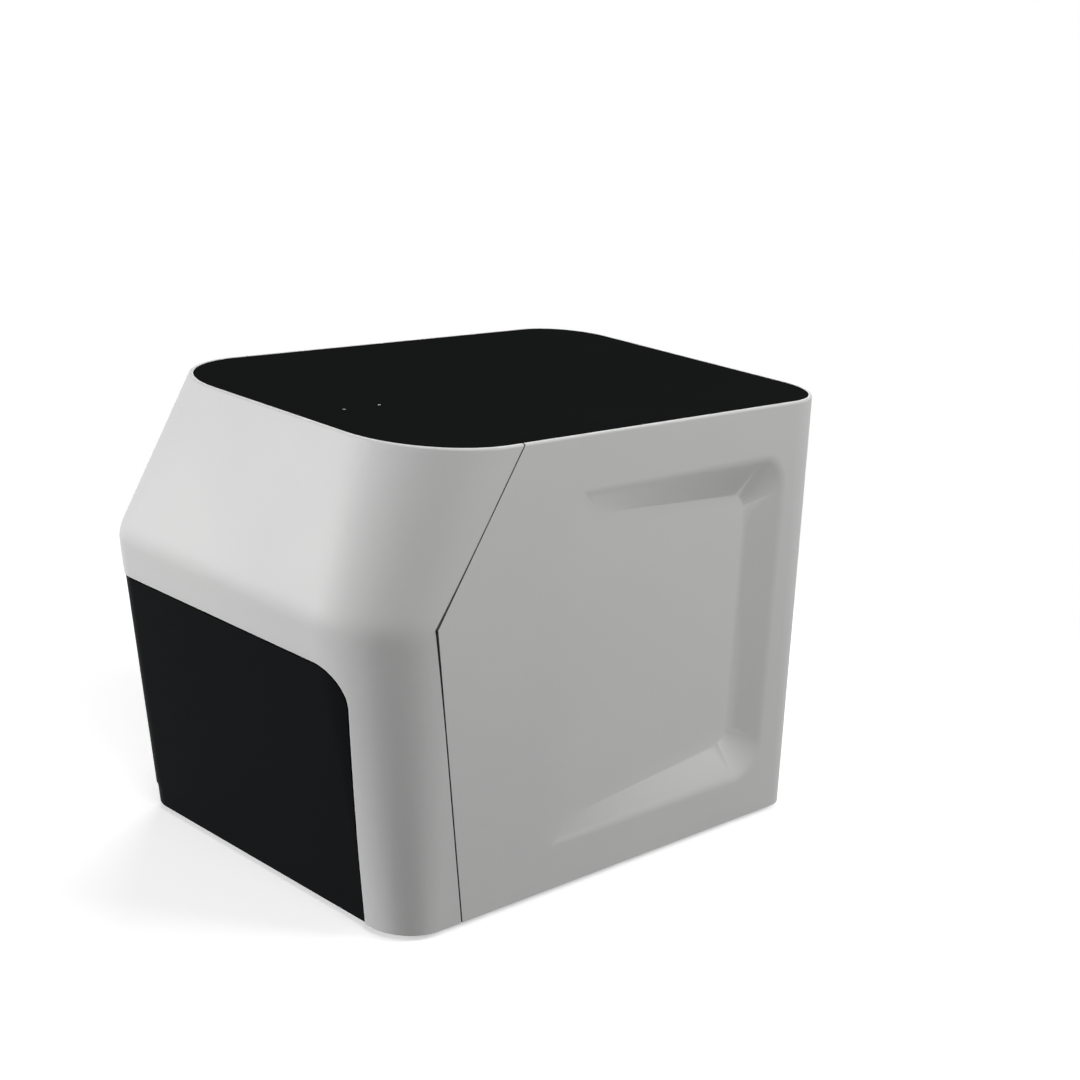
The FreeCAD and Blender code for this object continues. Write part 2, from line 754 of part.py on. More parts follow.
def bulkhead():
    """Front wall behind the drawer front, with the drawer's opening."""
    wall = box(-frameX, frameX, bulkheadY, bulkheadY + bulkheadWall, floorZ, bulkheadHigh)
    hole = box(-apertureX, apertureX, bulkheadY - 1, bulkheadY + bulkheadWall + 1, apertureLow, apertureHigh)
    nose = creased(bottomY, chinY, topY, bulkheadHigh) + shellWall + 1.5
    shelf = box(-fasciaRight + 25, fasciaRight - 25, nose, bulkheadY, rimTop, bulkheadHigh)
    stiff = [box(sx * (apertureX + 24) - 1, sx * (apertureX + 24) + 1, bulkheadY + bulkheadWall,
                 bulkheadY + bulkheadWall + 8, floorZ + 20, bulkheadHigh - 10) for sx in (-1, 1)]
    return fuse(wall.cut(hole), shelf, *stiff)


def drawerSeal():
    y0 = bulkheadY - sealDepth
    outer = frontPlane(sealX, sealLow, sealHigh, 6, y0, sealDepth)
    inner = frontPlane(sealX - sealSection, sealLow + sealSection, sealHigh - sealSection, 3, y0 - 1,
                       sealDepth + 2)
    return outer.cut(inner)


def frontPlane(halfX, z0, z1, radius, y, depth):
    """Rounded plate seen from the front, centred on the drawer."""
    points = [Vec(-halfX, y, z0), Vec(halfX, y, z0), Vec(halfX, y, z1), Vec(-halfX, y, z1)]
    return Part.Face(roundedWire(points, [radius] * 4)).extrude(Vec(0, depth, 0))


# Drawer
def drawerTray():
    y0 = plateY - sheetWall
    floor = box(-trayX, trayX, y0, trayRear, trayZ, fanZ)
    side = box(trayX - sheetWall, trayX, y0, trayRear, trayZ, sinkZ)
    ledge = box(surroundX - 5, trayX, blockY - surroundHalfY, blockY + surroundHalfY, sinkZ - sheetWall, sinkZ)
    back = box(-trayX, trayX, trayRear - sheetWall, trayRear, trayZ, railZ + slideHeight)
    plate = frontPlane(frontPlateX, frontPlateLow, frontPlateHigh, 6, y0, sheetWall)
    holes = [rod(blockFanSide / 2 - fanRim - 1, 5, 0, blockY, trayZ - 1)]
    for x, z in fasciaScrews():
        holes.append(rod(1.8, 4, x, y0 - 1, z, Vec(0, 1, 0)))
    for i in range(3):
        y = blockY + surroundHalfY + 18 + i * 32
        holes.append(frontSlot(-32, 32, y, trayZ))
    return fuse(floor, pair(side), pair(ledge), back, plate).cut(holes)


def frontSlot(x0, x1, y, z):
    return roundedPlate(x0, x1, y, y + 12, z - 1, z + 5, 5)


def channel(webX, openX, z0, z1, y0, y1):
    """U section along Y with its web at webX."""
    side = 1 if openX > webX else -1
    outer = box(min(webX, openX), max(webX, openX), y0, y1, z0, z1)
    start = webX + side * slideWall
    end = openX + side
    inner = box(min(start, end), max(start, end), y0 - 1, y1 + 1, z0 + slideWall, z1 - slideWall)
    return outer.cut(inner)


def outerRails():
    rail = channel(railX, railX - slideDepth, railZ, railZ + slideHeight,
                   railFront, railFront + outerRailLength)
    return pair(rail)


def middleRails():
    step = slideWall + slideGap
    rail = channel(railX - step, railX - slideDepth, railZ + step, railZ + slideHeight - step,
                   railFront, railFront + railLength)
    return pair(rail)


def innerRails():
    step = 2 * (slideWall + slideGap)
    rail = channel(trayX, railX - step, railZ + step, railZ + slideHeight - step, plateY, plateY + railLength)
    return pair(rail)


def slideBrackets():
    web = box(railX, railX + frameWall, railFront, railFront + outerRailLength, floorZ, railZ + slideHeight + 4)
    foot = box(railX, railX + 20, railFront, railFront + outerRailLength, floorZ, floorZ + frameWall)
    gussets = []
    for i in range(3):
        y = railFront + 24 + i * 96
        triangle = [(railX, y, floorZ), (railX + 18, y, floorZ), (railX, y, railZ)]
        gussets.append(prism(triangle, Vec(0, frameWall, 0)))
    return pair(fuse(web, foot, *gussets))


def heatSink():
    base = box(-surroundX, surroundX, blockY - surroundHalfY, blockY + surroundHalfY, sinkZ, peltierZ)
    reach = surroundX - 7
    pitch = (2 * reach - finWall) / (finCount - 1)
    fins = []
    for i in range(finCount):
        x = -reach + i * pitch
        fins.append(box(x, x + finWall, blockY - surroundHalfY, blockY + surroundHalfY,
                        sinkZ - finHeight, sinkZ))
    return fuse(base, *fins)


def peltierModules():
    tileX = (2 * blockX - 2 * peltierGap) / 3
    tileY = (2 * blockHalfY - peltierGap) / 2
    tiles = []
    for i in range(3):
        for j in range(2):
            x = -blockX + i * (tileX + peltierGap)
            y = blockY - blockHalfY + j * (tileY + peltierGap)
            tiles.append(box(x, x + tileX, y, y + tileY, peltierZ, blockZ))
    return Part.makeCompound(tiles)


def ring(radius, z, corners):
    points = [Vec(radius * cos(2 * pi * (i + 0.5) / corners), radius * sin(2 * pi * (i + 0.5) / corners), z)
              for i in range(corners)]
    return Part.makePolygon(points + points[:1])


def wellPlaces():
    places = []
    for i in range(wellColumns):
        for j in range(wellRows):
            x = (i - (wellColumns - 1) / 2) * wellPitch
            y = blockY + (j - (wellRows - 1) / 2) * wellPitch
            places.append((x, y))
    return places


def patterned(shape, places, cutter):
    """Cut a copy of the cutter at each place, row by row."""
    copies = []
    for x, y in places:
        copy = cutter.copy()
        copy.translate(Vec(x, y, 0))
        copies.append(copy)
    return shape.cut(Part.makeCompound(copies))


def sampleBlock():
    body = box(-blockX, blockX, blockY - blockHalfY, blockY + blockHalfY, blockZ, blockTop)
    upright = [edge for edge in body.Edges if edge.BoundBox.ZLength > blockHeight - 0.1]
    body = body.makeFillet(3, upright)
    tip = ring(wellTipRadius, blockTop - wellDepth, wellSides)
    mouth = ring(wellRadius, blockTop, wellSides)
    well = Part.makeLoft([tip, mouth], True, True)
    lead = Part.makeLoft([mouth, ring(wellRadius, blockTop + 1, wellSides)], True, True)
    return patterned(body, wellPlaces(), well.fuse(lead))


def blockSurround():
    outer = roundedPlate(-surroundX, surroundX, blockY - surroundHalfY, blockY + surroundHalfY,
                         peltierZ, surroundTop, 5)
    x = blockX + surroundGap
    y = blockHalfY + surroundGap
    inner = roundedPlate(-x, x, blockY - y, blockY + y, peltierZ - 1, surroundTop + 1, 3)
    lip = roundedPlate(-x - 3, x + 3, blockY - y - 3, blockY + y + 3, blockTop + 1, surroundTop + 1, 5)
    return outer.cut([inner, lip])


# Drawer drive
def driveNut():
    y = trayRear - sheetWall - nutLength
    body = box(-nutWidth / 2, nutWidth / 2, y, y + nutLength, screwZ - 12, trayZ)
    slope = [edge for edge in body.Edges
             if edge.BoundBox.YLength > nutLength - 0.1 and edge.BoundBox.ZMax < screwZ]
    body = body.makeFillet(5, slope)
    return body.cut(rod(screwRadius + runGap, far, 0, y - 1, screwZ, Vec(0, 1, 0)))


def bearingBlocks():
    return Part.makeCompound([bearingBlock(frontBearingY), bearingBlock(rearBearingY)])


def bearingBlock(y):
    body = box(-16, 16, y, y + bearingLength, floorZ, screwZ + 8)
    upper = [edge for edge in body.Edges
             if edge.BoundBox.YLength > bearingLength - 0.1 and edge.BoundBox.ZMin > screwZ]
    body = body.makeFillet(6, upper)
    return body.cut(rod(journalRadius + runGap, far, 0, y - 1, screwZ, Vec(0, 1, 0)))


def driveScrew():
    front = frontBearingY + 1
    start = frontBearingY + bearingLength + 0.5
    end = rearBearingY - 0.5
    body = rod(screwRadius, end - start, 0, start, screwZ, Vec(0, 1, 0))
    journal = rod(journalRadius, motorY + frameWall + 12 - front, 0, front, screwZ, Vec(0, 1, 0))
    return fuse(body, journal)


def driveMotor():
    y = motorY + frameWall
    half = motorSide / 2
    body = frontPlane(half, screwZ - half, screwZ + half, 5, y, motorLength)
    boss = rod(motorBossRadius, frameWall, 0, motorY, screwZ, Vec(0, 1, 0))
    bore = rod(journalRadius + runGap, 14 + frameWall, 0, motorY - 1, screwZ, Vec(0, 1, 0))
    middle = box(-half - 1, half + 1, y + 9, y + motorLength - 9, 0, far)
    middle = middle.cut(box(-half + 1, half - 1, y, y + motorLength, screwZ - half + 1, screwZ + half - 1))
    return fuse(body.cut(middle), boss).cut(bore)


def motorBracket():
    half = motorSide / 2
    plate = box(-half - 2, half + 2, motorY, motorY + frameWall, floorZ, screwZ + half)
    foot = box(-half - 14, half + 14, motorY, motorY + 26, floorZ, screwZ - half)
    hole = rod(motorBossRadius + runGap, 2 * frameWall, 0, motorY - 1, screwZ, Vec(0, 1, 0))
    return fuse(plate, foot).cut(hole)


# Fans, built about +Z with the struts at the bottom
def fanFrame(side):
    half = side / 2
    body = roundedPlate(-half, half, -half, half, 0, fanThick, 4)
    body = body.cut(rod(half - fanRim, fanThick + 2, 0, 0, -1))
    hub = rod(fanHubRadius, fanStrut, 0, 0, 0)
    struts = [box(0, half - fanRim / 2, -fanStrut / 2, fanStrut / 2, 0, fanStrut) for i in range(3)]
    for i in range(3):
        struts[i].rotate(Vec(0, 0, 0), Vec(0, 0, 1), 120 * i + 45)
    bearing = rod(fanBearingRadius, 7, 0, 0, 0)
    shaftBore = rod(fanShaftRadius + runGap, 9, 0, 0, -1)
    corner = half - fanHoleInset
    holes = [rod(fanHoleRadius, fanThick + 2, sx * corner, sy * corner, -1) for sx in (-1, 1) for sy in (-1, 1)]
    return fuse(body, hub, bearing, *struts).cut([shaftBore] + holes)


def fanRotor(side):
    tip = side / 2 - fanRim - fanTipGap
    low = fanStrut + 0.5
    top = fanThick - 1
    hub = rod(fanHubRadius, top - low, 0, 0, low).cut(rod(fanHubRadius - 1.5, top - low - 1.5, 0, 0, low))
    shaft = rod(fanShaftRadius, top - 2, 0, 0, 1.5)
    blades = []
    for i in range(fanBlades):
        blade = box(fanHubRadius - 1, tip, -fanChord / 2, fanChord / 2, -fanBladeWall / 2, fanBladeWall / 2)
        blade.rotate(Vec(0, 0, 0), Vec(1, 0, 0), fanPitch)
        blade.translate(Vec(0, 0, (top + low) / 2))
        blade.rotate(Vec(0, 0, 0), Vec(0, 0, 1), 360 * i / fanBlades)
        blades.append(blade.common(rod(tip, fanThick, 0, 0, 0)))
    return fuse(hub, shaft, *blades)


def facingRear(shape, x, z):
    """Turn a fan so that its struts lie against the rear panel."""
    turned = shape.copy()
    turned.rotate(Vec(0, 0, 0), Vec(1, 0, 0), 90)
    turned.translate(Vec(x, panelY - sheetWall, z))
    return turned


def underSink(shape):
    placed = shape.copy()
    placed.translate(Vec(0, blockY, fanZ))
    return placed


# Heated lid
def heatedLid():
    plate = roundedPlate(-blockX - 2, blockX + 2, blockY - blockHalfY - 2, blockY + blockHalfY + 2,
                         lidZ, carrierZ, 4)
    ends = [ring(lidHoleRadius, lidZ - 1, wellSides), ring(lidHoleRadius, carrierZ + 1, wellSides)]
    hole = Part.makeLoft(ends, True, True)
    return patterned(plate, wellPlaces(), hole)


def postPlaces():
    return [(sx * bushX, blockY + sy * bushHalfY) for sx in (-1, 1) for sy in (-1, 1)]


def lidShaftPlaces():
    return [(sx * (bushX + bushRadius + 1), blockY) for sx in (-1, 1)]


def lidCarrier():
    x = bushX + bushRadius + 7
    y = bushHalfY + bushRadius
    plate = roundedPlate(-x, x, blockY - y, blockY + y, carrierZ, carrierZ + carrierWall, bushRadius)
    window = box(-blockX, blockX, blockY - blockHalfY, blockY + blockHalfY, carrierZ - 1, far)
    bushes = [rod(bushRadius, bushHeight, px, py, carrierZ) for px, py in postPlaces()]
    bores = [rod(postRadius + runGap, bushHeight + 2, px, py, carrierZ - 1) for px, py in postPlaces()]
    return fuse(plate, *bushes).cut([window] + bores)


def guidePosts():
    start = carrierZ - lidTravel - 3
    return Part.makeCompound([rod(postRadius, deckTop - start, x, y, start) for x, y in postPlaces()])


def lidShafts():
    start = carrierZ + carrierWall
    end = deckTop + actuatorHeight + lidTravel + 2
    return Part.makeCompound([rod(lidShaftRadius, end - start, x, y, start) for x, y in lidShaftPlaces()])


def lidActuators():
    half = actuatorSide / 2
    bodies = []
    for x, y in lidShaftPlaces():
        body = roundedPlate(x - half, x + half, y - half, y + half, deckTop, deckTop + actuatorHeight, 4)
        bodies.append(body.cut(rod(lidShaftRadius + runGap, 2 * actuatorHeight, x, y, deckTop - 1)))
    return Part.makeCompound(bodies)


# Optics
def opticsDeck():
    x = frameInX - fitGap
    deck = roundedPlate(-x, x, deckFront, deckRear, deckZ, deckTop, 6)
    x = blockX - 3
    window = box(-x, x, blockY - blockHalfY, blockY + blockHalfY, deckZ - 1, deckTop + 1)
    posts = [rod(postRadius + runGap, deckWall + 2, px, py, deckZ - 1) for px, py in postPlaces()]
    shafts = [rod(lidShaftRadius + 1.5, deckWall + 2, px, py, deckZ - 1) for px, py in lidShaftPlaces()]
    return deck.cut([window] + posts + shafts)


def fieldLens():
    x = blockX
    y = blockHalfY + 3
    slab = roundedPlate(-x, x, blockY - y, blockY + y, deckTop, deckTop + 2 * lensHeight, 4)
    ball = Part.makeSphere(lensRound, Vec(0, blockY, deckTop + 1.4 * lensHeight - lensRound))
    return slab.common(ball)


def slanted(halfX, y, length, wall, back):
    """Plate at 45 degrees across the beam, its lower edge to the front, lying behind its face by back."""
    plate = box(-halfX, halfX, -length / 2, length / 2, back, back + wall)
    plate.rotate(Vec(0, 0, 0), Vec(1, 0, 0), 45)
    plate.translate(Vec(0, y, beamZ))
    return plate


def foldMirror():
    return slanted(blockX, mirrorY, mirrorLength, mirrorWall, 0)


def mirrorHood():
    reach = mirrorLength / 2 / sqrt(2)
    gap = (mirrorWall + fitGap) * sqrt(2)
    x = blockX + fitGap
    side = [
        (x, mirrorY - reach - 4, deckTop), (x, mirrorY + reach + 4, deckTop),
        (x, mirrorY + reach + 4, beamZ + reach + gap + 6), (x, mirrorY - reach - 4, beamZ - reach + gap - 2),
    ]
    cheek = prism(side, Vec(shellWall, 0, 0))
    foot = box(x, x + 8, mirrorY + 20, mirrorY + reach + 4, deckTop, deckTop + shellWall)
    back = slanted(x + 0.5, mirrorY, mirrorLength, shellWall, mirrorWall)
    return fuse(pair(cheek), pair(foot), back)


def beamSplitter():
    return slanted(splitterLength / 2 - 2, splitterY, splitterLength, 2.0, 0)


def splitterMount():
    reach = splitterLength / 2 / sqrt(2) + 4
    x = splitterLength / 2 - 2 + fitGap
    cheek = box(x, x + shellWall, splitterY - reach, splitterY + reach, deckTop, beamZ + reach)
    foot = box(x, x + 12, splitterY - reach, splitterY + reach, deckTop, deckTop + shellWall)
    brace = box(-x - 0.5, x + 0.5, splitterY - reach, splitterY - reach + shellWall,
                beamZ + reach - 8, beamZ + reach)
    return fuse(pair(cheek), pair(foot), brace)


def lightModule():
    reach = splitterLength / 2 / sqrt(2) + 4
    z = beamZ + reach
    half = splitterLength / 2
    head = roundedPlate(-half, half, splitterY - reach, splitterY + reach, z, z + 16, 4)
    window = rod(half - 14, 8, 0, splitterY, z - 1)
    fins = []
    for i in range(8):
        y = splitterY - reach + 4 + 8 * i
        fins.append(box(-half + 3, half - 3, y, y + 2, z + 16, z + 34))
    return fuse(head.cut(window), *fins)


def wheelCentreX():
    return -filterRing


def filterPlaces():
    places = []
    for i in range(filterCount):
        angle = 2 * pi * i / filterCount
        places.append((wheelCentreX() + filterRing * cos(angle), beamZ + filterRing * sin(angle)))
    return places


def filterWheel():
    y = wheelY - wheelWall / 2
    disc = rod(wheelRadius, wheelWall, wheelCentreX(), y, beamZ, Vec(0, 1, 0))
    shaft = rod(wheelShaftRadius, wheelWall + 16, wheelCentreX(), y, beamZ, Vec(0, 1, 0))
    hub = rod(9, wheelWall + 3, wheelCentreX(), y - 2, beamZ, Vec(0, 1, 0))
    holes = [rod(filterRadius, wheelWall + 2, x, y - 1, z, Vec(0, 1, 0)) for x, z in filterPlaces()]
    return fuse(disc.cut(holes), hub, shaft)


def wheelFilters():
    y = wheelY - wheelWall / 2 + 1
    discs = [rod(filterRadius - 0.05, wheelWall - 2, x, y, z, Vec(0, 1, 0)) for x, z in filterPlaces()]
    return Part.makeCompound(discs)


def wheelMotor():
    x = wheelCentreX()
    y = wheelY + wheelWall / 2 + 3
    body = rod(10.5, 22, x, y + frameWall, beamZ, Vec(0, 1, 0))
    plate = box(x - 16, x + 10.5, y, y + frameWall, deckTop, beamZ + 14)
    foot = box(x - 16, x + 10.5, y, y + 18, deckTop, deckTop + frameWall)
    bore = rod(wheelShaftRadius + runGap, 14, x, y - 1, beamZ, Vec(0, 1, 0))
    return fuse(body, plate, foot).cut(bore)


def cameraLens():
    y = wheelY + wheelWall / 2 + 4
    barrel = rod(cameraLensRadius, cameraLensLength, 0, y, beamZ, Vec(0, 1, 0))
    grip = rod(cameraLensRadius + 1, 1, 0, y, beamZ, Vec(0, 1, 0))
    grooves = [rod(cameraLensRadius + 1, 3, 0, y + 12 + 10 * i, beamZ, Vec(0, 1, 0)).cut(
        rod(cameraLensRadius - 1, 3, 0, y + 12 + 10 * i, beamZ, Vec(0, 1, 0))) for i in range(3)]
    mouth = Part.makeCone(cameraLensRadius - 3, cameraLensRadius - 9, 10, Vec(0, y - 0.1, beamZ), Vec(0, 1, 0))
    return barrel.cut(grooves + [mouth, grip.cut(barrel)])


def detectorCamera():
    y = wheelY + wheelWall / 2 + 4 + cameraLensLength
    half = cameraSide / 2
    body = frontPlane(half, beamZ - half, beamZ + half, 4, y, cameraLength)
    fins = [box(-half + 8, half - 8, y + 14 + 7 * i, y + 17 + 7 * i, beamZ + half - 1, beamZ + half + 8)
            for i in range(5)]
    return fuse(body, *fins)


def cameraStand():
    y = wheelY + wheelWall / 2 + 4 + cameraLensLength + 6
    half = cameraSide / 2
    block = box(-half, half, y, y + cameraLength - 12, deckTop, beamZ - half)
    arch = box(-half + 6, half - 6, y - 1, y + cameraLength, deckTop + 5, beamZ - half - 5)
    return block.cut(arch)


# Rear panel, electronics and power
def panelScrews():
    x = windowHalf + panelOverlap / 2
    low = lowZ + windowLow
    high = lowZ + windowHigh
    return [(sx * x, z) for sx in (-1, 1) for z in (low + 20, (low + high) / 2, high - 20)]


def rearScrews():
    screws = []
    for x, z in panelScrews():
        y = panelY - sheetWall
        head = Part.makeCone(panelScrewRadius, panelScrewRadius + sheetWall, sheetWall, Vec(x, y, z),
                             Vec(0, 1, 0))
        screws.append(fuse(head, rod(panelScrewRadius, 9, x, y - 9, z, Vec(0, 1, 0))))
    return Part.makeCompound(screws)


def rearPlane(x0, x1, z0, z1, radius, y0, y1):
    points = [Vec(x0, y0, z0), Vec(x1, y0, z0), Vec(x1, y0, z1), Vec(x0, y0, z1)]
    return Part.Face(roundedWire(points, [radius] * 4)).extrude(Vec(0, y1 - y0, 0))


def around(x, z, width, height, radius, y0, y1):
    return rearPlane(x - width / 2, x + width / 2, z - height / 2, z + height / 2, radius, y0, y1)


def rearPanel():
    x = windowHalf + panelOverlap
    y = panelY - sheetWall
    plate = rearPlane(-x, x, lowZ + windowLow - panelOverlap, lowZ + windowHigh + panelOverlap, 2, y, panelY)
    cuts = []
    for px, pz in panelScrews():
        cuts.append(Part.makeCone(panelScrewRadius + runGap, panelScrewRadius + sheetWall + runGap,
                                  sheetWall, Vec(px, y, pz), Vec(0, 1, 0)))
    for sx in (-1, 1):
        for i in range(fanSlots):
            rise = (i - (fanSlots - 1) / 2) * fanSlotPitch
            half = sqrt((rearFanSide / 2 - 3) ** 2 - rise ** 2)
            cuts.append(around(sx * rearFanX, rearFanHigh + rise, 2 * half, slotWidth, slotWidth / 2 - 0.1,
                               y - 1, panelY + 1))
    for i in range(ventSlots):
        cuts.append(around(0, ventHigh + i * ventPitch, ventLength, slotWidth, slotWidth / 2 - 0.1,
                           y - 1, panelY + 1))
    for x, z, width, height, radius in (
            (inletX, inletHigh, inletWidth, inletHeight, 3),
            (switchX, inletHigh, switchWidth, switchHeight, 2),
            (portX, portHigh, portWidth, portHeight, 0.5),
            (portX + portPitch, portHigh, portWidth, portHeight, 0.5)):
        cuts.append(around(x, z, width + 2 * cutGap, height + 2 * cutGap, radius, y - 1, panelY + 1))
    return plate.cut(cuts)


def powerInlet():
    """Inlet and switch housing in one moulding."""
    middle = (inletX - inletWidth / 2 + switchX + switchWidth / 2) / 2
    width = switchX - inletX + (inletWidth + switchWidth) / 2
    flange = around(middle, inletHigh, width + 8, switchHeight + 6, 4, panelY, panelY + 1.5)
    body = around(inletX, inletHigh, inletWidth, inletHeight, 3, panelY - inletDepth, panelY)
    cavity = around(inletX, inletHigh, inletWidth - 2 * inletWall, inletHeight - 2 * inletWall, 2.5,
                    panelY - socketDepth, panelY + 3)
    pins = []
    for i, lift in ((-1, -1.5), (0, 2.5), (1, -1.5)):
        pins.append(around(inletX + pinPitch * i, inletHigh + lift, pinWidth, pinHeight, 0.3,
                           panelY - socketDepth - 1, panelY - 2))
    well = around(switchX, inletHigh, switchWidth, switchHeight, 2, panelY - 18, panelY)
    pocket = box(switchX - rockerHalf - 0.5, switchX + rockerHalf + 0.5, panelY - 15, far,
                 inletHigh - rockerRise - 1.4, inletHigh + rockerRise + 1.4)
    bore = rod(1.5 + runGap, 2 * rockerHalf + 3, switchX - rockerHalf - 1.5, rockerY, inletHigh, Vec(1, 0, 0))
    return fuse(fuse(flange, body, well).cut([cavity, pocket, bore]), *pins)


def powerRocker():
    x = switchX - rockerHalf
    points = [
        (x, rockerY + 5.0, inletHigh), (x, rockerY + 6.2, inletHigh + rockerRise),
        (x, rockerY + 1.5, inletHigh + rockerRise), (x, rockerY - 3, inletHigh),
        (x, rockerY + 1.5, inletHigh - rockerRise), (x, rockerY + 6.2, inletHigh - rockerRise),
    ]
    body = prism(points, Vec(2 * rockerHalf, 0, 0))
    pin = rod(1.5, 2 * rockerHalf + 2.6, switchX - rockerHalf - 1.3, rockerY, inletHigh, Vec(1, 0, 0))
    rocker = fuse(body, pin)
    rocker.rotate(Vec(switchX, rockerY, inletHigh), Vec(1, 0, 0), -rockerTilt)
    return rocker


def networkSocket():
    body = around(portX, portHigh, portWidth, portHeight, 0.4, panelY - 21, panelY)
    cavity = around(portX, portHigh + 0.5, 11.8, 8.2, 0.4, panelY - 14, panelY + 1)
    return body.cut(cavity)


def dataSocket():
    x = portX + portPitch
    body = around(x, portHigh, portWidth, portHeight, 0.4, panelY - 18, panelY)
    cavity = around(x, portHigh, 8.6, 7.8, 0.8, panelY - 12, panelY + 1)
    tongueBlock = around(x, portHigh, 5.6, 3.2, 0.3, panelY - 13, panelY - 6)
    return fuse(body.cut(cavity), tongueBlock)


def portBoard():
    z = portHigh - portHeight / 2
    board = box(portX - 12, portX + portPitch + 12, panelY - 46, panelY - sheetWall - 1, z - boardWall, z)
    chips = [box(portX - 6 + 18 * i, portX + 6 + 18 * i, panelY - 42, panelY - 30, z, z + 3) for i in range(2)]
    return fuse(board, *chips)


def powerSupply():
    x1 = -(motorSide / 2) - 26
    x0 = x1 - supplyWidth
    y1 = panelY - sheetWall - 30
    y0 = y1 - supplyLength
    case = box(x0, x1, y0, y1, floorZ, floorZ + supplyHeight)
    slots = [roundedPlate(x0 + 12, x1 - 12, y0 + 16 + 14 * i, y0 + 22 + 14 * i, floorZ + supplyHeight - 3,
                          floorZ + supplyHeight + 1, 2.9) for i in range(8)]
    block = box(x0 + 8, x0 + 60, y1, y1 + 10, floorZ + 8, floorZ + 24)
    return fuse(case.cut(slots), block)


def controlBoard():
    x = frameInX - boardLift
    y0 = boardY
    y1 = y0 + boardLength
    z0 = boardZ
    z1 = z0 + boardHeight
    board = box(x - boardWall, x, y0, y1, z0, z1)
    parts = [
        box(x - boardWall - 9, x - boardWall, y0 + 20, y0 + 50, z0 + 30, z0 + 60),
        box(x - boardWall - 3, x - boardWall, y0 + 70, y0 + 95, z0 + 55, z0 + 80),
        box(x - boardWall - 3, x - boardWall, y0 + 70, y0 + 85, z0 + 20, z0 + 35),
        box(x - boardWall - 11, x - boardWall, y0 + 30, y0 + 90, z1 - 12, z1 - 4),
        box(x - boardWall - 11, x - boardWall, y1 - 14, y1 - 6, z0 + 10, z0 + 60),
    ]
    return fuse(board, *parts)


def boardSpacers():
    spacers = []
    for y in (boardY + spacerInset, boardY + boardLength - spacerInset):
        for z in (boardZ + spacerInset, boardZ + boardHeight - spacerInset):
            spacers.append(rod(spacerRadius, boardLift, frameInX - boardLift, y, z, Vec(1, 0, 0)))
    return Part.makeCompound(spacers)


def build():
    outer = outerHousing()
    openings = coverOpenings()
    save("front_shell", frontShell(outer, openings))
    save("rear_shell", rearShell(openings))
    save("top_cover", topCover())
    save("status_light_pipes", lightPipes())
    save("indicator_board", indicatorBoard())
    save("base_plate", basePlate())
    save("rubber_feet", feet())
    frame = sideFrame()
    save("right_side_frame", fuse(frame, boardSpacers()))
    save("left_side_frame", mirrorX(frame))
    save("front_bulkhead", bulkhead())
    save("drawer_seal", drawerSeal())
    save("slide_brackets", slideBrackets())
    save("outer_rails", outerRails())
    save("middle_rails", middleRails())
    save("inner_rails", innerRails())
    save("drawer_fascia", drawerFascia())
    save("drawer_tray", drawerTray())
    save("heat_sink", heatSink())
    save("peltier_modules", peltierModules())
    save("sample_block", sampleBlock())
    save("block_surround", blockSurround())
    save("drive_nut", driveNut())
    save("bearing_blocks", bearingBlocks())
    save("drive_screw", driveScrew())
    save("drive_motor", driveMotor())
    save("motor_bracket", motorBracket())
    save("block_fan_frame", underSink(fanFrame(blockFanSide)))
    save("block_fan_rotor", underSink(fanRotor(blockFanSide)))
    frames = [facingRear(fanFrame(rearFanSide), x, rearFanHigh) for x in (-rearFanX, rearFanX)]
    save("rear_fan_frames", Part.makeCompound(frames))
    save("left_fan_rotor", facingRear(fanRotor(rearFanSide), -rearFanX, rearFanHigh))
    save("right_fan_rotor", facingRear(fanRotor(rearFanSide), rearFanX, rearFanHigh))
    save("heated_lid", heatedLid())
    save("lid_carrier", lidCarrier())
    save("lid_shafts", lidShafts())
    save("lid_guide_posts", guidePosts())
    save("lid_actuators", lidActuators())
    save("optics_deck", opticsDeck())
    save("field_lens", fieldLens())
    save("fold_mirror", foldMirror())
    save("mirror_hood", mirrorHood())
    save("beam_splitter", beamSplitter())
    save("splitter_mount", splitterMount())
    save("light_module", lightModule())
    save("filter_wheel", filterWheel())
    save("wheel_filters", wheelFilters())
    save("wheel_motor", wheelMotor())
    save("camera_lens", cameraLens())
    save("detector_camera", detectorCamera())
    save("camera_stand", cameraStand())
    save("rear_panel", rearPanel())
    save("housing_screws", Part.makeCompound([baseScrews(), rearScrews()]))
    save("power_inlet", powerInlet())
    save("power_rocker", powerRocker())
    save("network_socket", networkSocket())
    save("data_socket", dataSocket())
    save("port_board", portBoard())
    save("power_supply", powerSupply())
    save("control_board", controlBoard())


build()
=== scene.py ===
import json
import math

import bpy
from mathutils import Matrix, Vector


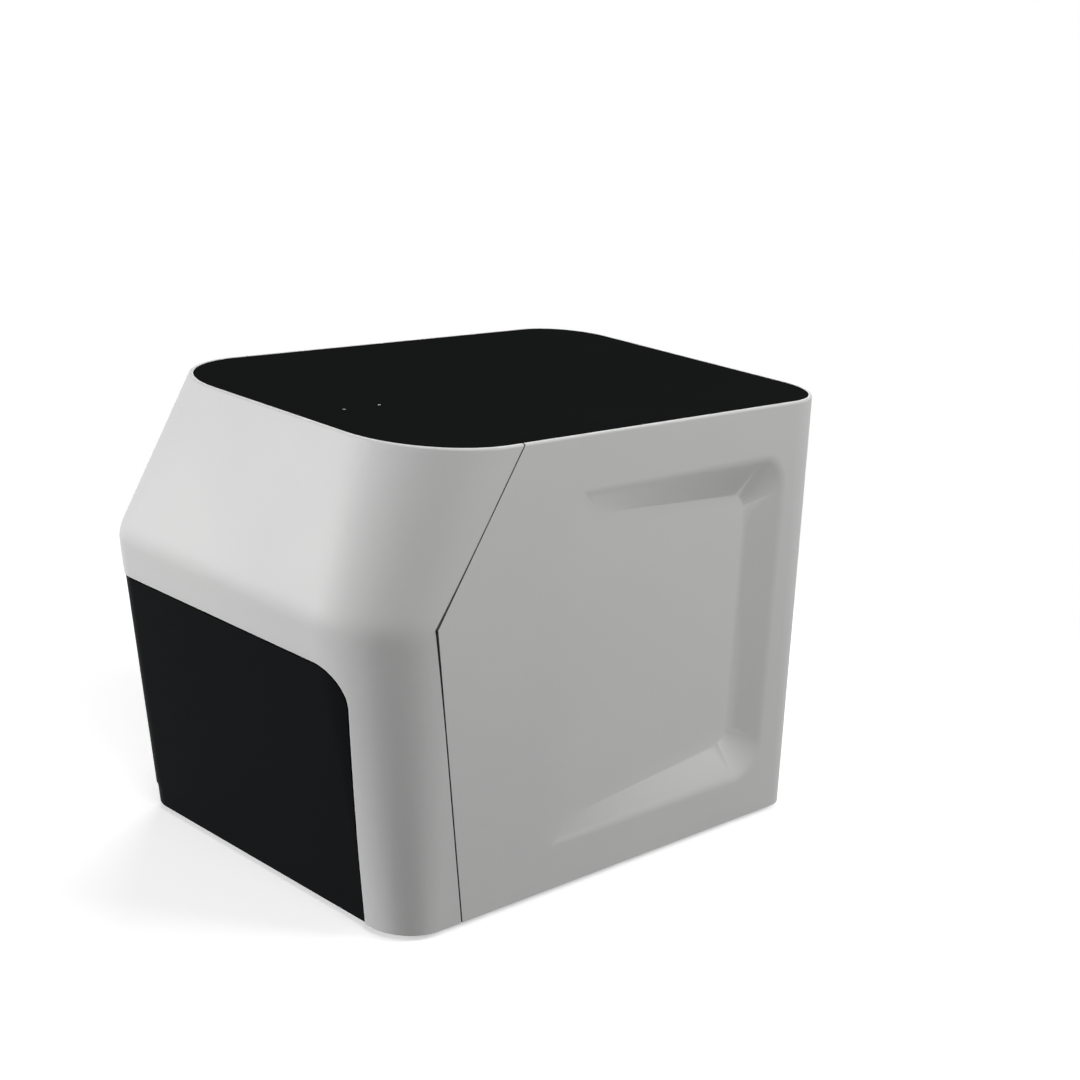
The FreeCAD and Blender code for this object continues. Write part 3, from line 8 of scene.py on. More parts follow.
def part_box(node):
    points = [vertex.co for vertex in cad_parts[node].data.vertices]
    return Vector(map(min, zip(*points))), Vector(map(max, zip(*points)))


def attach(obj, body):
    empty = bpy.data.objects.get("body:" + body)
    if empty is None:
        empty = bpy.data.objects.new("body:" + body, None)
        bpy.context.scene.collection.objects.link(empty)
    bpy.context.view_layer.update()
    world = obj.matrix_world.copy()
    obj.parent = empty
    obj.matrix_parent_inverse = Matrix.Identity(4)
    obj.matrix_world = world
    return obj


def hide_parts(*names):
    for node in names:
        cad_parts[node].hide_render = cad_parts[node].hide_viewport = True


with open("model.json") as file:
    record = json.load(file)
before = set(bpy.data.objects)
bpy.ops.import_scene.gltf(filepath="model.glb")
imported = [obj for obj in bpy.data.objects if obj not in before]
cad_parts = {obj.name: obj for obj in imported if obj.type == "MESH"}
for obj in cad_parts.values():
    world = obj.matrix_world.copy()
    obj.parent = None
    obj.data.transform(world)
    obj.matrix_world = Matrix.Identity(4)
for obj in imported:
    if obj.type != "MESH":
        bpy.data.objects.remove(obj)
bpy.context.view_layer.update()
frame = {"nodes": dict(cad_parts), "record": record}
nodes = frame["nodes"]
slotOf = {part["node"]: part["material_slot"] for part in frame["record"]["subparts"]}
bodies = frame["record"]["behaviour"]["bodies"]
bodyOf = {part: body for body, parts in bodies.items() for part in parts}
print("frame loaded:", len(nodes), "nodes")


# Selecting and finishing, as by hand
def clearSelection():
    bpy.ops.object.select_all(action="DESELECT")


def workOn(piece):
    clearSelection()
    piece.select_set(True)
    bpy.context.view_layer.objects.active = piece


def applyModifiers(piece):
    workOn(piece)
    for modifier in list(piece.modifiers):
        bpy.ops.object.modifier_apply(modifier=modifier.name)


def smoothByAngle(piece, angle):
    workOn(piece)
    bpy.ops.object.shade_smooth_by_angle(angle=math.radians(angle))


# Place in the mesh, material, body, slot and the nodes that it stands for
def settle(piece, body, material, stands=()):
    workOn(piece)
    bpy.ops.object.transform_apply(location=True, rotation=True, scale=True)
    piece.data.materials.clear()
    piece.data.materials.append(material)
    if stands:
        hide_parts(*stands)
    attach(piece, body)


# Camera, light and floor
cameraSettings = {
    "azimuth": 43.17,              # degrees, to the right of straight ahead
    "elevation": 16.23,
    "roll": 5.04,
    "distance": 1.8485,
    "target": (0.00334, 0.07689, 0.25149),
    "lens": 66.87,
    "sensor": 36.0,
    "clip": (0.05, 200),
}


def makeCamera():
    s = cameraSettings
    azimuth = math.radians(s["azimuth"])
    elevation = math.radians(s["elevation"])
    away = Vector((math.sin(azimuth) * math.cos(elevation), -math.cos(azimuth) * math.cos(elevation),
                   math.sin(elevation)))
    data = bpy.data.cameras.new("photoCamera")
    data.lens = s["lens"]
    data.sensor_width = s["sensor"]
    data.clip_start, data.clip_end = s["clip"]
    camera = bpy.data.objects.new("photoCamera", data)
    bpy.context.scene.collection.objects.link(camera)
    turn = (-away).to_track_quat("-Z", "Y").to_matrix().to_4x4()
    roll = Matrix.Rotation(math.radians(s["roll"]), 4, "Z")
    camera.matrix_world = Matrix.Translation(Vector(s["target"]) + away * s["distance"]) @ turn @ roll
    bpy.context.scene.camera = camera


lampSettings = [
    {"name": "keyPanel", "power": 98, "size": (1.8, 1.2),
     "place": (-1.9, -2.9, 0.5), "colour": (1, 1, 1)},
    {"name": "fillPanel", "power": 41, "size": (1.6, 1.4),
     "place": (2.1, -1.2, 2.7), "colour": (1, 1, 0.995)},
    {"name": "sidePanel", "power": 54, "size": (1.4, 1.2),
     "place": (2.3, 1.9, 2.2), "colour": (1, 1, 0.99)},
    {"name": "rearPanel", "power": 56, "size": (1.8, 1.4),
     "place": (-2.2, 2.4, 1.9), "colour": (1, 1, 0.995)},
]
studioSettings = {
    "aim": (0.0, 0.0, 0.2),
    "above": (0.06, 0.06, 0.06),   # light of the world from above, and from below
    "below": (0.026, 0.029, 0.035),
    "horizon": (-0.6, 0.8),        # where the light from below turns into the light from above
    "floorTone": 0.06,             # for the light that it sends up
    "floorSeen": 0.9,
    "floorLift": 0.5,
    "floorRadius": 40.0,
    "floorSides": 96,
    "floorHeight": -0.0002,        # a hair under the feet
    "shadowReach": (0.495, 1.1),   # metres from the middle, where the floor turns to plain white
}


def makeLamps():
    for s in lampSettings:
        data = bpy.data.lights.new(s["name"], "AREA")
        data.shape = "RECTANGLE"
        data.size, data.size_y = s["size"]
        data.energy = s["power"]
        data.color = s["colour"]
        lamp = bpy.data.objects.new(s["name"], data)
        bpy.context.scene.collection.objects.link(lamp)
        lamp.location = s["place"]
        toward = Vector(studioSettings["aim"]) - lamp.location
        lamp.rotation_euler = toward.to_track_quat("-Z", "Y").to_euler()


def addNode(tree, kind, inputs=None, **settings):
    node = tree.nodes.new(kind)
    for name, value in settings.items():
        setattr(node, name, value)
    for name, value in (inputs or {}).items():
        node.inputs[name].default_value = value
    return node


# Two values put together; the second may be a plain number
def reckon(tree, operation, first, second):
    node = addNode(tree, "ShaderNodeMath", operation=operation)
    tree.links.new(first, node.inputs[0])
    if isinstance(second, float):
        node.inputs[1].default_value = second
    else:
        tree.links.new(second, node.inputs[1])
    return node.outputs[0]


# From 0 to 1 between two limits of a value
def rangeOf(tree, limits, **settings):
    return addNode(tree, "ShaderNodeMapRange", {"From Min": limits[0], "From Max": limits[1]}, **settings)


# 1 for camera, glossy and transmission rays
def seenRays(tree):
    path = addNode(tree, "ShaderNodeLightPath")
    first = reckon(tree, "MAXIMUM", path.outputs["Is Camera Ray"], path.outputs["Is Glossy Ray"])
    return reckon(tree, "MAXIMUM", first, path.outputs["Is Transmission Ray"])


def mixShaders(tree, share, first, second):
    mix = addNode(tree, "ShaderNodeMixShader")
    tree.links.new(share, mix.inputs[0])
    tree.links.new(first.outputs[0], mix.inputs[1])
    tree.links.new(second.outputs[0], mix.inputs[2])
    return mix


def makeWorld():
    s = studioSettings
    world = bpy.data.worlds.new("paleStudio")
    bpy.context.scene.world = world
    world.use_nodes = True
    tree = world.node_tree
    tree.nodes.clear()
    link = tree.links.new
    place = addNode(tree, "ShaderNodeTexCoord")
    split = addNode(tree, "ShaderNodeSeparateXYZ")
    height = rangeOf(tree, s["horizon"])
    tone = addNode(tree, "ShaderNodeMix", {"A": (*s["below"], 1), "B": (*s["above"], 1)},
                   data_type="RGBA")
    light = addNode(tree, "ShaderNodeBackground")
    seen = addNode(tree, "ShaderNodeBackground", {"Color": (1, 1, 1, 1)})
    link(place.outputs["Generated"], split.inputs[0])
    link(split.outputs["Z"], height.inputs["Value"])
    link(height.outputs["Result"], tone.inputs["Factor"])
    link(tone.outputs["Result"], light.inputs["Color"])
    out = addNode(tree, "ShaderNodeOutputWorld")
    link(mixShaders(tree, seenRays(tree), light, seen).outputs[0], out.inputs["Surface"])


def makeFloor():
    s = studioSettings
    clearSelection()
    bpy.ops.mesh.primitive_circle_add(vertices=s["floorSides"], radius=s["floorRadius"],
                                      fill_type="NGON", location=(0, 0, s["floorHeight"]))
    floor = bpy.context.object
    floor.name = "studioFloor"
    material = bpy.data.materials.new("paleFloor")
    material.use_nodes = True
    tree = material.node_tree
    tree.nodes.clear()
    link = tree.links.new
    seen = seenRays(tree)
    plain = (s["floorTone"],) * 3
    bright = (s["floorSeen"],) * 3
    tone = addNode(tree, "ShaderNodeMix", {"A": (*plain, 1), "B": (*bright, 1)}, data_type="RGBA")
    matt = addNode(tree, "ShaderNodeBsdfDiffuse")
    lift = addNode(tree, "ShaderNodeEmission", {"Color": (1, 1, 1, 1)})
    near = addNode(tree, "ShaderNodeAddShader")
    link(seen, tone.inputs["Factor"])
    link(tone.outputs["Result"], matt.inputs["Color"])
    link(reckon(tree, "MULTIPLY", seen, s["floorLift"]), lift.inputs["Strength"])
    link(matt.outputs[0], near.inputs[0])
    link(lift.outputs[0], near.inputs[1])

    place = addNode(tree, "ShaderNodeTexCoord")
    length = addNode(tree, "ShaderNodeVectorMath", operation="LENGTH")
    reach = rangeOf(tree, s["shadowReach"], interpolation_type="SMOOTHSTEP")
    white = addNode(tree, "ShaderNodeEmission", {"Color": (1, 1, 1, 1)})
    link(place.outputs["Object"], length.inputs[0])
    link(length.outputs["Value"], reach.inputs["Value"])
    fade = reckon(tree, "MULTIPLY", reach.outputs["Result"], seen)
    out = addNode(tree, "ShaderNodeOutputMaterial")
    link(mixShaders(tree, fade, near, white).outputs[0], out.inputs["Surface"])
    floor.data.materials.append(material)


bpy.context.scene.view_settings.view_transform = "Standard"
makeCamera()
makeLamps()
makeWorld()
makeFloor()
print("camera, lamps and floor made")


# Effects that several finishes share
def newGroup(name, inputs, outputs):
    group = bpy.data.node_groups.new(name, "ShaderNodeTree")
    for socketName, kind, value in inputs:
        socket = group.interface.new_socket(name=socketName, in_out="INPUT", socket_type=kind)
        socket.default_value = value
    for socketName, kind in outputs:
        group.interface.new_socket(name=socketName, in_out="OUTPUT", socket_type=kind)
    return group, group.nodes.new("NodeGroupInput"), group.nodes.new("NodeGroupOutput")


# Fine moulded or cast grain, as a height from 0 to 1
grainSettings = {
    "smoothness": 0.8,
    "detail": 3.0,
    "finer": 1.7,                  # the haze between the cells against the cells
    "haze": 0.45,
    "strength": 0.6,
}


def makeGrain():
    s = grainSettings
    group, start, end = newGroup(
        "fineGrain",
        [("Scale", "NodeSocketFloat", 900.0)],
        [("Height", "NodeSocketFloat")])
    link = group.links.new
    place = addNode(group, "ShaderNodeTexCoord")
    cells = addNode(group, "ShaderNodeTexVoronoi", {"Smoothness": s["smoothness"]}, feature="SMOOTH_F1")
    haze = addNode(group, "ShaderNodeTexNoise", {"Detail": s["detail"]})
    mix = addNode(group, "ShaderNodeMix", {"Factor": s["haze"]})
    link(place.outputs["Object"], cells.inputs["Vector"])
    link(place.outputs["Object"], haze.inputs["Vector"])
    link(start.outputs["Scale"], cells.inputs["Scale"])
    link(reckon(group, "MULTIPLY", start.outputs["Scale"], s["finer"]), haze.inputs["Scale"])
    link(cells.outputs["Distance"], mix.inputs["A"])
    link(haze.outputs["Fac"], mix.inputs["B"])
    link(mix.outputs["Result"], end.inputs["Height"])
    return group


# A colour that drifts slightly over the surface, and a slow mask for the roughness
driftSettings = {
    "detail": 4.0,
    "roughness": 0.55,
    "range": (0.3, 0.7),           # of the noise, spread over the two colours
    "mouldedScale": 5.0,
    "mouldedSpread": 0.03,         # of the roughness
    "brushedScale": 9.0,
    "brushedSpread": 0.05,
}


def makeDrift():
    s = driftSettings
    group, start, end = newGroup(
        "toneDrift",
        [("Colour", "NodeSocketColor", (0.5, 0.5, 0.5, 1)),
         ("Shade", "NodeSocketColor", (0.45, 0.45, 0.45, 1)),
         ("Scale", "NodeSocketFloat", 6.0)],
        [("Colour", "NodeSocketColor"), ("Mask", "NodeSocketFloat")])
    link = group.links.new
    place = addNode(group, "ShaderNodeTexCoord")
    cloud = addNode(group, "ShaderNodeTexNoise", {"Detail": s["detail"], "Roughness": s["roughness"]})
    spread = rangeOf(group, s["range"])
    mix = addNode(group, "ShaderNodeMix", data_type="RGBA")
    link(place.outputs["Object"], cloud.inputs["Vector"])
    link(start.outputs["Scale"], cloud.inputs["Scale"])
    link(cloud.outputs["Fac"], spread.inputs["Value"])
    link(spread.outputs["Result"], mix.inputs["Factor"])
    link(start.outputs["Colour"], mix.inputs["A"])
    link(start.outputs["Shade"], mix.inputs["B"])
    link(mix.outputs["Result"], end.inputs["Colour"])
    link(spread.outputs["Result"], end.inputs["Mask"])
    return group


# Fine lines along one axis, as a height; the smallest number in Stretch is along them
brushSettings = {
    "detail": 5.0,
    "roughness": 0.7,
    "strength": 0.5,
}


def makeBrushing():
    s = brushSettings
    group, start, end = newGroup(
        "brushedLines",
        [("Stretch", "NodeSocketVector", (1, 40, 40)), ("Scale", "NodeSocketFloat", 30.0)],
        [("Height", "NodeSocketFloat")])
    link = group.links.new
    place = addNode(group, "ShaderNodeTexCoord")
    squeeze = addNode(group, "ShaderNodeVectorMath", operation="MULTIPLY")
    lines = addNode(group, "ShaderNodeTexNoise", {"Detail": s["detail"], "Roughness": s["roughness"]})
    link(place.outputs["Object"], squeeze.inputs[0])
    link(start.outputs["Stretch"], squeeze.inputs[1])
    link(squeeze.outputs[0], lines.inputs["Vector"])
    link(start.outputs["Scale"], lines.inputs["Scale"])
    link(lines.outputs["Fac"], end.inputs["Height"])
    return group


grain = makeGrain()
drift = makeDrift()
brushing = makeBrushing()


def newFinish(name, metallic=0.0, specular=0.5):
    material = bpy.data.materials.new(name)
    material.use_nodes = True
    tree = material.node_tree
    shader = tree.nodes["Principled BSDF"]
    shader.inputs["Metallic"].default_value = metallic
    shader.inputs["Specular IOR Level"].default_value = specular
    return material, tree, shader


def addGroup(tree, group, **values):
    return addNode(tree, "ShaderNodeGroup", values, node_tree=group)


# Drifting colour, with the roughness following the same mask
def driftColour(tree, shader, colour, shade, scale, rough, spread):
    tone = addGroup(tree, drift, Colour=(*colour, 1), Shade=(*shade, 1), Scale=scale)
    satin = addNode(tree, "ShaderNodeMapRange", {"To Min": rough - spread, "To Max": rough + spread})
    tree.links.new(tone.outputs["Colour"], shader.inputs["Base Color"])
    tree.links.new(tone.outputs["Mask"], satin.inputs["Value"])
    tree.links.new(satin.outputs["Result"], shader.inputs["Roughness"])


def bumpFrom(tree, shader, height, distance, strength):
    bump = addNode(tree, "ShaderNodeBump", {"Distance": distance, "Strength": strength})
    tree.links.new(height, bump.inputs["Height"])
    tree.links.new(bump.outputs["Normal"], shader.inputs["Normal"])


def grainedFinish(name, colour, shade, rough, grainScale, grainDepth, specular=0.5):
    material, tree, shader = newFinish(name, specular=specular)
    s = driftSettings
    driftColour(tree, shader, colour, shade, s["mouldedScale"], rough, s["mouldedSpread"])
    cells = addGroup(tree, grain, Scale=grainScale)
    bumpFrom(tree, shader, cells.outputs["Height"], grainDepth, grainSettings["strength"])
    return material


def brushedFinish(name, colour, shade, rough, stretch, scale=30.0, depth=0.00002):
    material, tree, shader = newFinish(name, metallic=1.0)
    s = driftSettings
    driftColour(tree, shader, colour, shade, s["brushedScale"], rough, s["brushedSpread"])
    lines = addGroup(tree, brushing, Stretch=stretch, Scale=scale)
    bumpFrom(tree, shader, lines.outputs["Height"], depth, brushSettings["strength"])
    return material


glassSettings = {
    "rough": 0.02,
    "clear": 0.9,
    "ior": 1.5,
}


def glassFinish(name, colour):
    material, tree, shader = newFinish(name)
    s = glassSettings
    shader.inputs["Base Color"].default_value = (*colour, 1)
    shader.inputs["Roughness"].default_value = s["rough"]
    shader.inputs["Transmission Weight"].default_value = s["clear"]
    shader.inputs["IOR"].default_value = s["ior"]
    return material


# Each finish: colour and shade, roughness, then the grain's scale and depth and the shine,
# or how the brushing is stretched, with its scale and depth
finishes = {
    "shell": grainedFinish("shellPlastic", (0.712, 0.710, 0.705), (0.69, 0.69, 0.69),
                           0.5, 1100, 0.00005, 0.25),
    "cover_black": grainedFinish("coverPlastic", (0.0112, 0.0118, 0.0119), (0.0122, 0.0128, 0.0129),
                                 0.5, 1400, 0.00003, 0.0),
    "fascia_black": grainedFinish("fasciaPlastic", (0.0088, 0.0094, 0.0100), (0.0098, 0.0104, 0.0112),
                                  0.42, 1400, 0.00002, 0.005),
    "light_pipe": grainedFinish("lightPipe", (0.16, 0.17, 0.18), (0.13, 0.14, 0.15), 0.5, 2000, 0.00002),
    "circuit_board": grainedFinish("solderMask", (0.010, 0.085, 0.035), (0.007, 0.06, 0.026),
                                   0.35, 500, 0.00002),
    "sheet_steel": brushedFinish("zincSheet", (0.56, 0.57, 0.58), (0.47, 0.48, 0.50), 0.38, (1, 12, 12)),
    "black_sheet": grainedFinish("blackPowderCoat", (0.016, 0.016, 0.017), (0.022, 0.022, 0.023),
                                 0.55, 800, 0.00005),
    "panel_grey": grainedFinish("greyPowderCoat", (0.44, 0.445, 0.45), (0.415, 0.42, 0.425),
                                0.55, 900, 0.00006),
    "rubber": grainedFinish("blackRubber", (0.018, 0.018, 0.018), (0.03, 0.03, 0.029),
                            0.8, 600, 0.00006, 0.3),
    "rail_steel": brushedFinish("brightZinc", (0.50, 0.50, 0.51), (0.42, 0.42, 0.44), 0.30, (12, 1, 12)),
    "brass": brushedFinish("turnedBrass", (0.66, 0.49, 0.20), (0.56, 0.40, 0.16), 0.28, (12, 1, 12)),
    "aluminium": brushedFinish("machinedAluminium", (0.72, 0.72, 0.73), (0.63, 0.63, 0.645),
                               0.33, (12, 1, 12)),
    "block_metal": brushedFinish("platedBlock", (0.78, 0.78, 0.79), (0.70, 0.70, 0.715),
                                 0.30, (1, 12, 12)),
    "black_metal": grainedFinish("blackAnodised", (0.012, 0.012, 0.014), (0.017, 0.017, 0.019),
                                 0.38, 1600, 0.00002),
    "ceramic": grainedFinish("alumina", (0.78, 0.78, 0.75), (0.72, 0.72, 0.70), 0.6, 1200, 0.00003),
    "black_plastic": grainedFinish("blackPlastic", (0.014, 0.014, 0.015), (0.020, 0.020, 0.021),
                                   0.45, 1300, 0.00003),
    "lens_glass": glassFinish("lensGlass", (0.95, 0.98, 0.98)),
    "splitter_glass": glassFinish("splitterGlass", (0.8, 0.92, 0.85)),
    "filter_glass": glassFinish("filterGlass", (0.45, 0.25, 0.6)),
    "mirror": brushedFinish("silvered", (0.92, 0.92, 0.92), (0.9, 0.9, 0.9),
                            0.06, (1, 1, 1), 4.0, 0.000001),
}
# Painted shade: a dark grey for the faces in the side seam's gap, standing in for the shadow there
paintedSeamShade = grainedFinish("seamPaintedShade", (0.17, 0.17, 0.17), (0.13, 0.13, 0.13), 0.7, 1100, 0.00003, 0.1)
print("finishes made:", len(finishes))

for nodeName, node in nodes.items():
    for materialSlot in node.material_slots:
        materialSlot.material = finishes[slotOf[nodeName]]


mergeDistance = 0.00001            # for the corners that a node's triangles share
hair = 0.0001                      # tells an edge or face at a height from one that isn't


# A merged copy of a CAD node, free to be worked on
def copyNode(nodeName, pieceName):
    piece = nodes[nodeName].copy()
    piece.data = nodes[nodeName].data.copy()
    piece.parent = None
    for key in list(piece.keys()):
        if key.startswith("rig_"):
            del piece[key]
    piece.name = pieceName
    bpy.context.scene.collection.objects.link(piece)
    workOn(piece)
    bpy.ops.mesh.customdata_custom_splitnormals_clear()
    bpy.ops.object.mode_set(mode="EDIT")
    bpy.ops.mesh.select_all(action="SELECT")
    bpy.ops.mesh.remove_doubles(threshold=mergeDistance)
    bpy.ops.object.mode_set(mode="OBJECT")
    return piece


def weighNormals(piece):
    weighted = piece.modifiers.new("weighted", "WEIGHTED_NORMAL")
    weighted.keep_sharp = True
    applyModifiers(piece)


def smoothAndWeigh(piece, angle):
    smoothByAngle(piece, angle)
    weighNormals(piece)


def settleFor(piece, nodeName):
    settle(piece, bodyOf[nodeName], finishes[slotOf[nodeName]], [nodeName])


# Moulded skins and turned parts: copies of the CAD's own shapes, smoothed up to an angle in degrees
skinSettings = {
    "moulded": {
        "angle": 25,
        "nodes": ["front_shell", "rear_shell", "top_cover", "drawer_fascia"],
    },
    "turned": {
        "angle": 34,
        "nodes": ["rubber_feet", "drive_motor", "lid_actuators", "lid_shafts", "lid_guide_posts",
                  "drive_nut", "bearing_blocks", "block_fan_frame", "block_fan_rotor",
                  "rear_fan_frames", "left_fan_rotor", "right_fan_rotor", "filter_wheel",
                  "wheel_filters", "wheel_motor", "camera_lens", "field_lens", "detector_camera",
                  "light_module", "status_light_pipes", "block_surround", "lid_carrier",
                  "drawer_seal", "power_rocker", "data_socket", "network_socket"],
    },
}


# In the side recesses the walls run into each other round the corners, without lines across them
sideRecess = {
    "low": (0.155, -0.01, 0.075),
    "high": (0.177, 0.215, 0.335),
    "rise": 0.0006,                # an edge that changes this much in depth lies across a wall
}


def softenRecess(skin):
    s = sideRecess
    for edge in skin.data.edges:
        ends = [skin.data.vertices[i].co for i in edge.vertices]
        places = [(abs(end.x), end.y, end.z) for end in ends]
        inside = all(s["low"][i] < place[i] < s["high"][i] for place in places for i in range(3))
        if inside and abs(places[0][0] - places[1][0]) > s["rise"]:
            edge.use_edge_sharp = False


def makeSkins():
    for kind, s in skinSettings.items():
        for nodeName in s["nodes"]:
            first, *others = nodeName.split("_")
            skin = copyNode(nodeName, first + "".join(word.capitalize() for word in others) + "Skin")
            smoothByAngle(skin, s["angle"])
            if nodeName == "rear_shell":
                softenRecess(skin)
            weighNormals(skin)
            settleFor(skin, nodeName)
        print(kind, "skins made:", len(s["nodes"]))


makeSkins()

# The side seam: the walls and the tongue in its gap get a dark grey painted shade, standing in for the
# deep shade in the gap
sideSeam = {
    "line": [(-0.15985, 0.006), (-0.21185, 0.268), (-0.13285, 0.406)],   # y and z, from bottom to top
    "half": 0.0008,                # of its width
    "side": 0.1,                   # only where the seam runs up a side
}


def seamY(z):
    low, crease, high = sideSeam["line"]
    start, end = (low, crease) if z < crease[1] else (crease, high)
    return start[0] + (end[0] - start[0]) * (z - start[1]) / (end[1] - start[1])


def paintSeamShade():
    for name, sign in (("frontShellSkin", -1), ("rearShellSkin", 1)):
        skin = bpy.data.objects[name]
        skin.data.materials.append(paintedSeamShade)
        count = 0
        for face in skin.data.polygons:
            beyond = sign * (face.center.y - seamY(face.center.z))
            if beyond < sideSeam["half"] and abs(face.center.x) > sideSeam["side"]:
                # painted shade on the faces in the seam's gap
                face.material_index = 1
                count += 1
        print("seam faces on", name, count)


paintSeamShade()


def deselectAll(kind):
    bpy.ops.object.mode_set(mode="EDIT")
    bpy.ops.mesh.select_mode(type=kind)
    bpy.ops.mesh.select_all(action="DESELECT")
    bpy.ops.object.mode_set(mode="OBJECT")


def selectEdges(piece, wanted):
    deselectAll("EDGE")
    for edge in piece.data.edges:
        ends = [piece.data.vertices[i].co for i in edge.vertices]
        edge.select = wanted(*ends)
    bpy.ops.object.mode_set(mode="EDIT")


def bevelEdges(piece, wanted, offset, segments):
    selectEdges(piece, wanted)
    bpy.ops.mesh.bevel(offset=offset, segments=segments, affect="EDGES")
    bpy.ops.object.mode_set(mode="OBJECT")


def joinAll(pieces, keep):
    clearSelection()
    for piece in pieces:
        piece.select_set(True)
    bpy.context.view_layer.objects.active = keep
    bpy.ops.object.join()


def addBlock(low, high):
    clearSelection()
    middle = [(a + b) / 2 for a, b in zip(low, high)]
    bpy.ops.mesh.primitive_cube_add(size=1, location=middle, scale=[b - a for a, b in zip(low, high)])
    piece = bpy.context.object
    bpy.ops.object.transform_apply(location=True, rotation=True, scale=True)
    return piece


def cutAway(piece, cutter, overlapping=False):
    cut = piece.modifiers.new("cut", "BOOLEAN")
    cut.operation = "DIFFERENCE"
    cut.solver = "EXACT"
    cut.use_self = overlapping
    cut.object = cutter
    applyModifiers(piece)
    bpy.data.objects.remove(cutter, do_unlink=True)


def repeatAlong(piece, count, step):
    row = piece.modifiers.new("row", "ARRAY")
    row.use_relative_offset = False
    row.use_constant_offset = True
    row.constant_offset_displace = step
    row.count = count


# Sample block and heated lid: both drilled with the plate's 96 places
platePattern = {
    "columns": 12,
    "rows": 8,
    "pitch": 0.009,
    "sides": 28,
    "cornerSteps": 6,
    "edgeSteps": 2,
    "tipSteps": 4,
    "beyond": 0.01,                # how far a drill for a through hole starts above the plate
    "angle": 40,
}
sampleBlock = {
    "node": "sample_block",
    "name": "sampleBlock",
    "corner": 0.003,
    "edge": 0.0004,
    "mouth": 0.0029,
    "tip": 0.0014,
    "tipRound": 0.0009,
    "depth": 0.015,
    "lead": 0.00035,               # chamfer round each mouth
}
heatedLid = {
    "node": "heated_lid",
    "name": "heatedLid",
    "corner": 0.004,
    "edge": 0.0005,
    "mouth": 0.0025,
    "tip": 0.0025,
    "tipRound": 0.0,
    "depth": 0.05,
    "lead": 0.0,
}


def wellCutter(s, place, top):
    pattern = platePattern
    clearSelection()
    low = top - s["depth"]
    bpy.ops.mesh.primitive_cone_add(vertices=pattern["sides"], radius1=s["tip"], radius2=s["mouth"],
                                    depth=s["depth"], location=(*place, (low + top) / 2))
    well = bpy.context.object
    bpy.ops.object.transform_apply(location=True, rotation=True, scale=True)
    if s["tipRound"]:
        bevelEdges(well, lambda a, b: max(a.z, b.z) < low + hair, s["tipRound"], pattern["tipSteps"])
    if s["lead"]:
        selectEdges(well, lambda a, b: min(a.z, b.z) > top - hair)
        bpy.ops.transform.translate(value=(0, 0, -s["lead"]))
        grow = (s["mouth"] + 2 * s["lead"]) / s["mouth"]
        bpy.ops.mesh.extrude_region_move(TRANSFORM_OT_translate={"value": (0, 0, 2 * s["lead"])})
        bpy.ops.transform.resize(value=(grow, grow, 1), center_override=(*place, top))
        bpy.ops.object.mode_set(mode="OBJECT")
    repeatAlong(well, pattern["columns"], (pattern["pitch"], 0, 0))
    repeatAlong(well, pattern["rows"], (0, pattern["pitch"], 0))
    applyModifiers(well)
    return well


def drilledPlate(s):
    pattern = platePattern
    low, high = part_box(s["node"])
    piece = addBlock(low, high)
    piece.name = s["name"]
    bevelEdges(piece, lambda a, b: abs(a.z - b.z) > 10 * hair, s["corner"], pattern["cornerSteps"])
    bevelEdges(piece, lambda a, b: max(a.z, b.z) < low[2] + hair or min(a.z, b.z) > high[2] - hair,
               s["edge"], pattern["edgeSteps"])
    counts = (pattern["columns"], pattern["rows"])
    first = [(low[i] + high[i]) / 2 - (counts[i] - 1) * pattern["pitch"] / 2 for i in range(2)]
    through = s["depth"] > high[2] - low[2]
    cutAway(piece, wellCutter(s, first, high[2] + (pattern["beyond"] if through else 0)))
    smoothAndWeigh(piece, pattern["angle"])
    settleFor(piece, s["node"])
    print("drilled:", s["name"])


drilledPlate(sampleBlock)
drilledPlate(heatedLid)

# Screws: cross recesses cut into the heads
crossRecess = {
    "width": 0.0007,
    "reach": 0.0019,
    "deep": 0.0011,
    "angle": 34,
}


# The axis that a screw lies along, and the middle of its head
def screwHead(screw):
    low, high = [[f(v.co[i] for v in screw.data.vertices) for i in range(3)] for f in (min, max)]
    rear = high[1] - low[1] > high[2] - low[2]
    axis = 1 if rear else 2
    head = [(a + b) / 2 for a, b in zip(low, high)]
    head[axis] = high[1] if rear else low[2]
    return axis, head


def crossCutter(axis, head):
    s = crossRecess
    across = [i for i in range(3) if i != axis]
    bars = []
    for along, aside in (across, across[::-1]):
        half = [0.0, 0.0, 0.0]
        half[axis] = s["deep"]
        half[along] = s["reach"]
        half[aside] = s["width"] / 2
        bars.append(addBlock([c - h for c, h in zip(head, half)], [c + h for c, h in zip(head, half)]))
    joinAll(bars, bars[0])
    return bars[0]


def makeScrews():
    screws = copyNode("housing_screws", "housingScrews")
    bpy.ops.mesh.separate(type="LOOSE")
    loose = list(bpy.context.selected_objects)
    for screw in loose:
        cutAway(screw, crossCutter(*screwHead(screw)), overlapping=True)
    joinAll(loose, screws)
    smoothAndWeigh(screws, crossRecess["angle"])
    settleFor(screws, "housing_screws")
    print("screws made:", len(loose))


makeScrews()

# Power inlet: plated pins in a black moulding
inletPins = {
    "middle": (-0.062, 0.072),     # x and z of the socket
    "places": [(-0.007, -0.0015), (0.0, 0.0025), (0.007, -0.0015)],
    "half": (0.0012, 0.0022),
    "root": 0.25435,               # y just outside the socket's back wall
    "angle": 34,
}


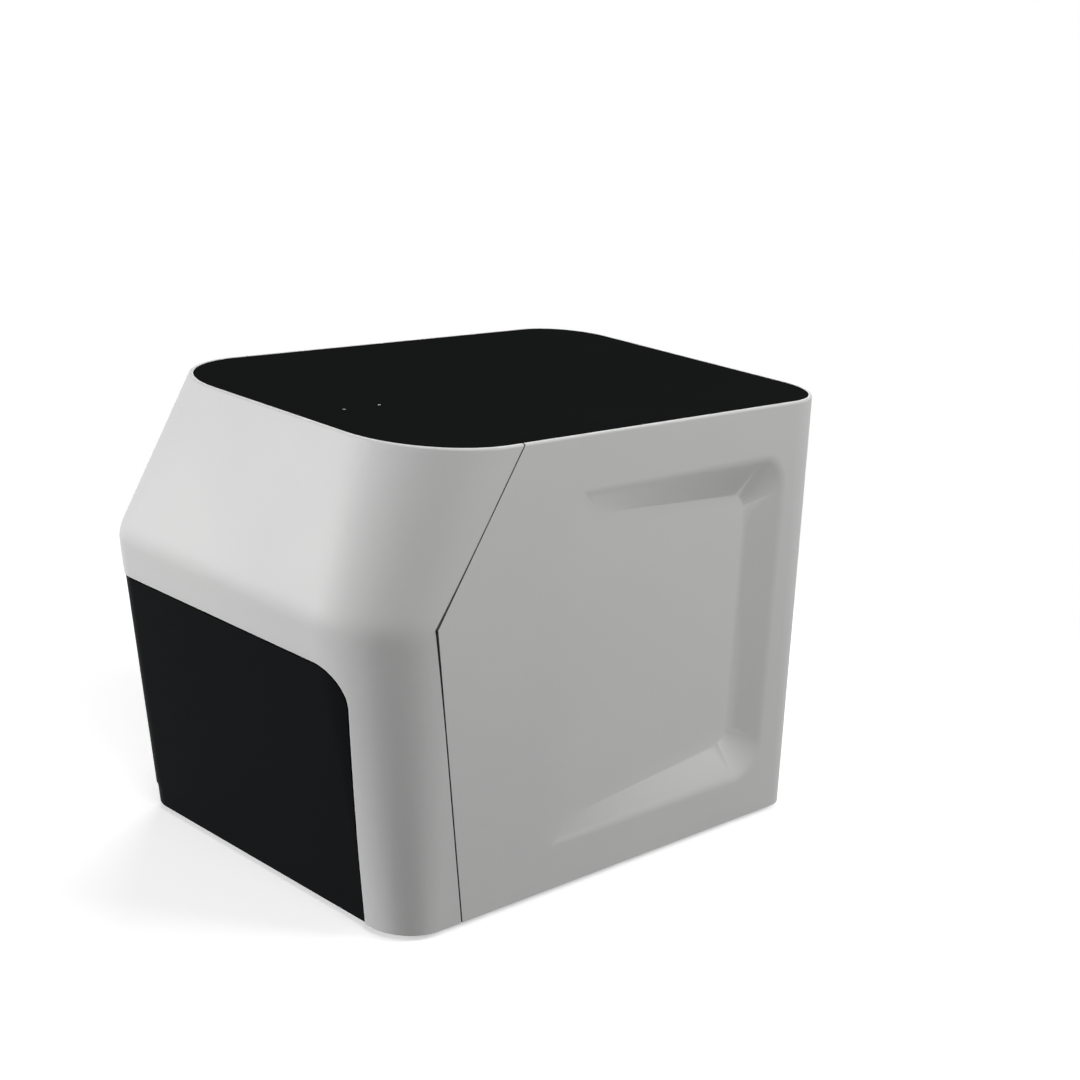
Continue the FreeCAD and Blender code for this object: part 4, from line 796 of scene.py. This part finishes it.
def onPin(place):
    s = inletPins
    x, z = place.x - s["middle"][0], place.z - s["middle"][1]
    beside = [abs(x - dx) < s["half"][0] and abs(z - dz) < s["half"][1] for dx, dz in s["places"]]
    return any(beside) and place.y > s["root"]


def makeInlet():
    inlet = copyNode("power_inlet", "powerInlet")
    deselectAll("FACE")
    for face in inlet.data.polygons:
        face.select = onPin(face.center)
    bpy.ops.object.mode_set(mode="EDIT")
    bpy.ops.mesh.separate(type="SELECTED")
    bpy.ops.object.mode_set(mode="OBJECT")
    pins = [piece for piece in bpy.context.selected_objects if piece != inlet][0]
    pins.name = "inletPins"
    smoothAndWeigh(pins, inletPins["angle"])
    settle(pins, "root", finishes["rail_steel"])
    smoothAndWeigh(inlet, inletPins["angle"])
    settleFor(inlet, "power_inlet")
    print("inlet and pins made")


makeInlet()

# Network socket: eight sprung contacts
networkContacts = {
    "count": 8,
    "pitch": 0.00102,
    "width": 0.00045,
    "wall": 0.00025,
    "length": 0.0075,
    "tipRound": 0.45,              # share of the wall
    "tipSteps": 2,
    "slope": 17,                   # degrees
    "middle": 0.034,
    "start": (0.2578, 0.0668),     # y and z where they leave the moulding
}


def makeContacts():
    s = networkContacts
    first = s["middle"] - (s["count"] - 1) * s["pitch"] / 2
    y, z = s["start"]
    low = (first - s["width"] / 2, y, z)
    contact = addBlock(low, (low[0] + s["width"], y + s["length"], z + s["wall"]))
    contact.name = "networkContacts"
    bevelEdges(contact, lambda a, b: abs(a.x - b.x) > hair and min(a.y, b.y) > y + s["length"] / 2,
               s["wall"] * s["tipRound"], s["tipSteps"])
    bpy.ops.object.mode_set(mode="EDIT")
    bpy.ops.mesh.select_all(action="SELECT")
    bpy.ops.transform.rotate(value=math.radians(-s["slope"]), orient_axis="X",
                             center_override=(first, y, z))
    bpy.ops.object.mode_set(mode="OBJECT")
    repeatAlong(contact, s["count"], (s["pitch"], 0, 0))
    applyModifiers(contact)
    settle(contact, "root", finishes["brass"])
    print("contacts made:", s["count"])


makeContacts()
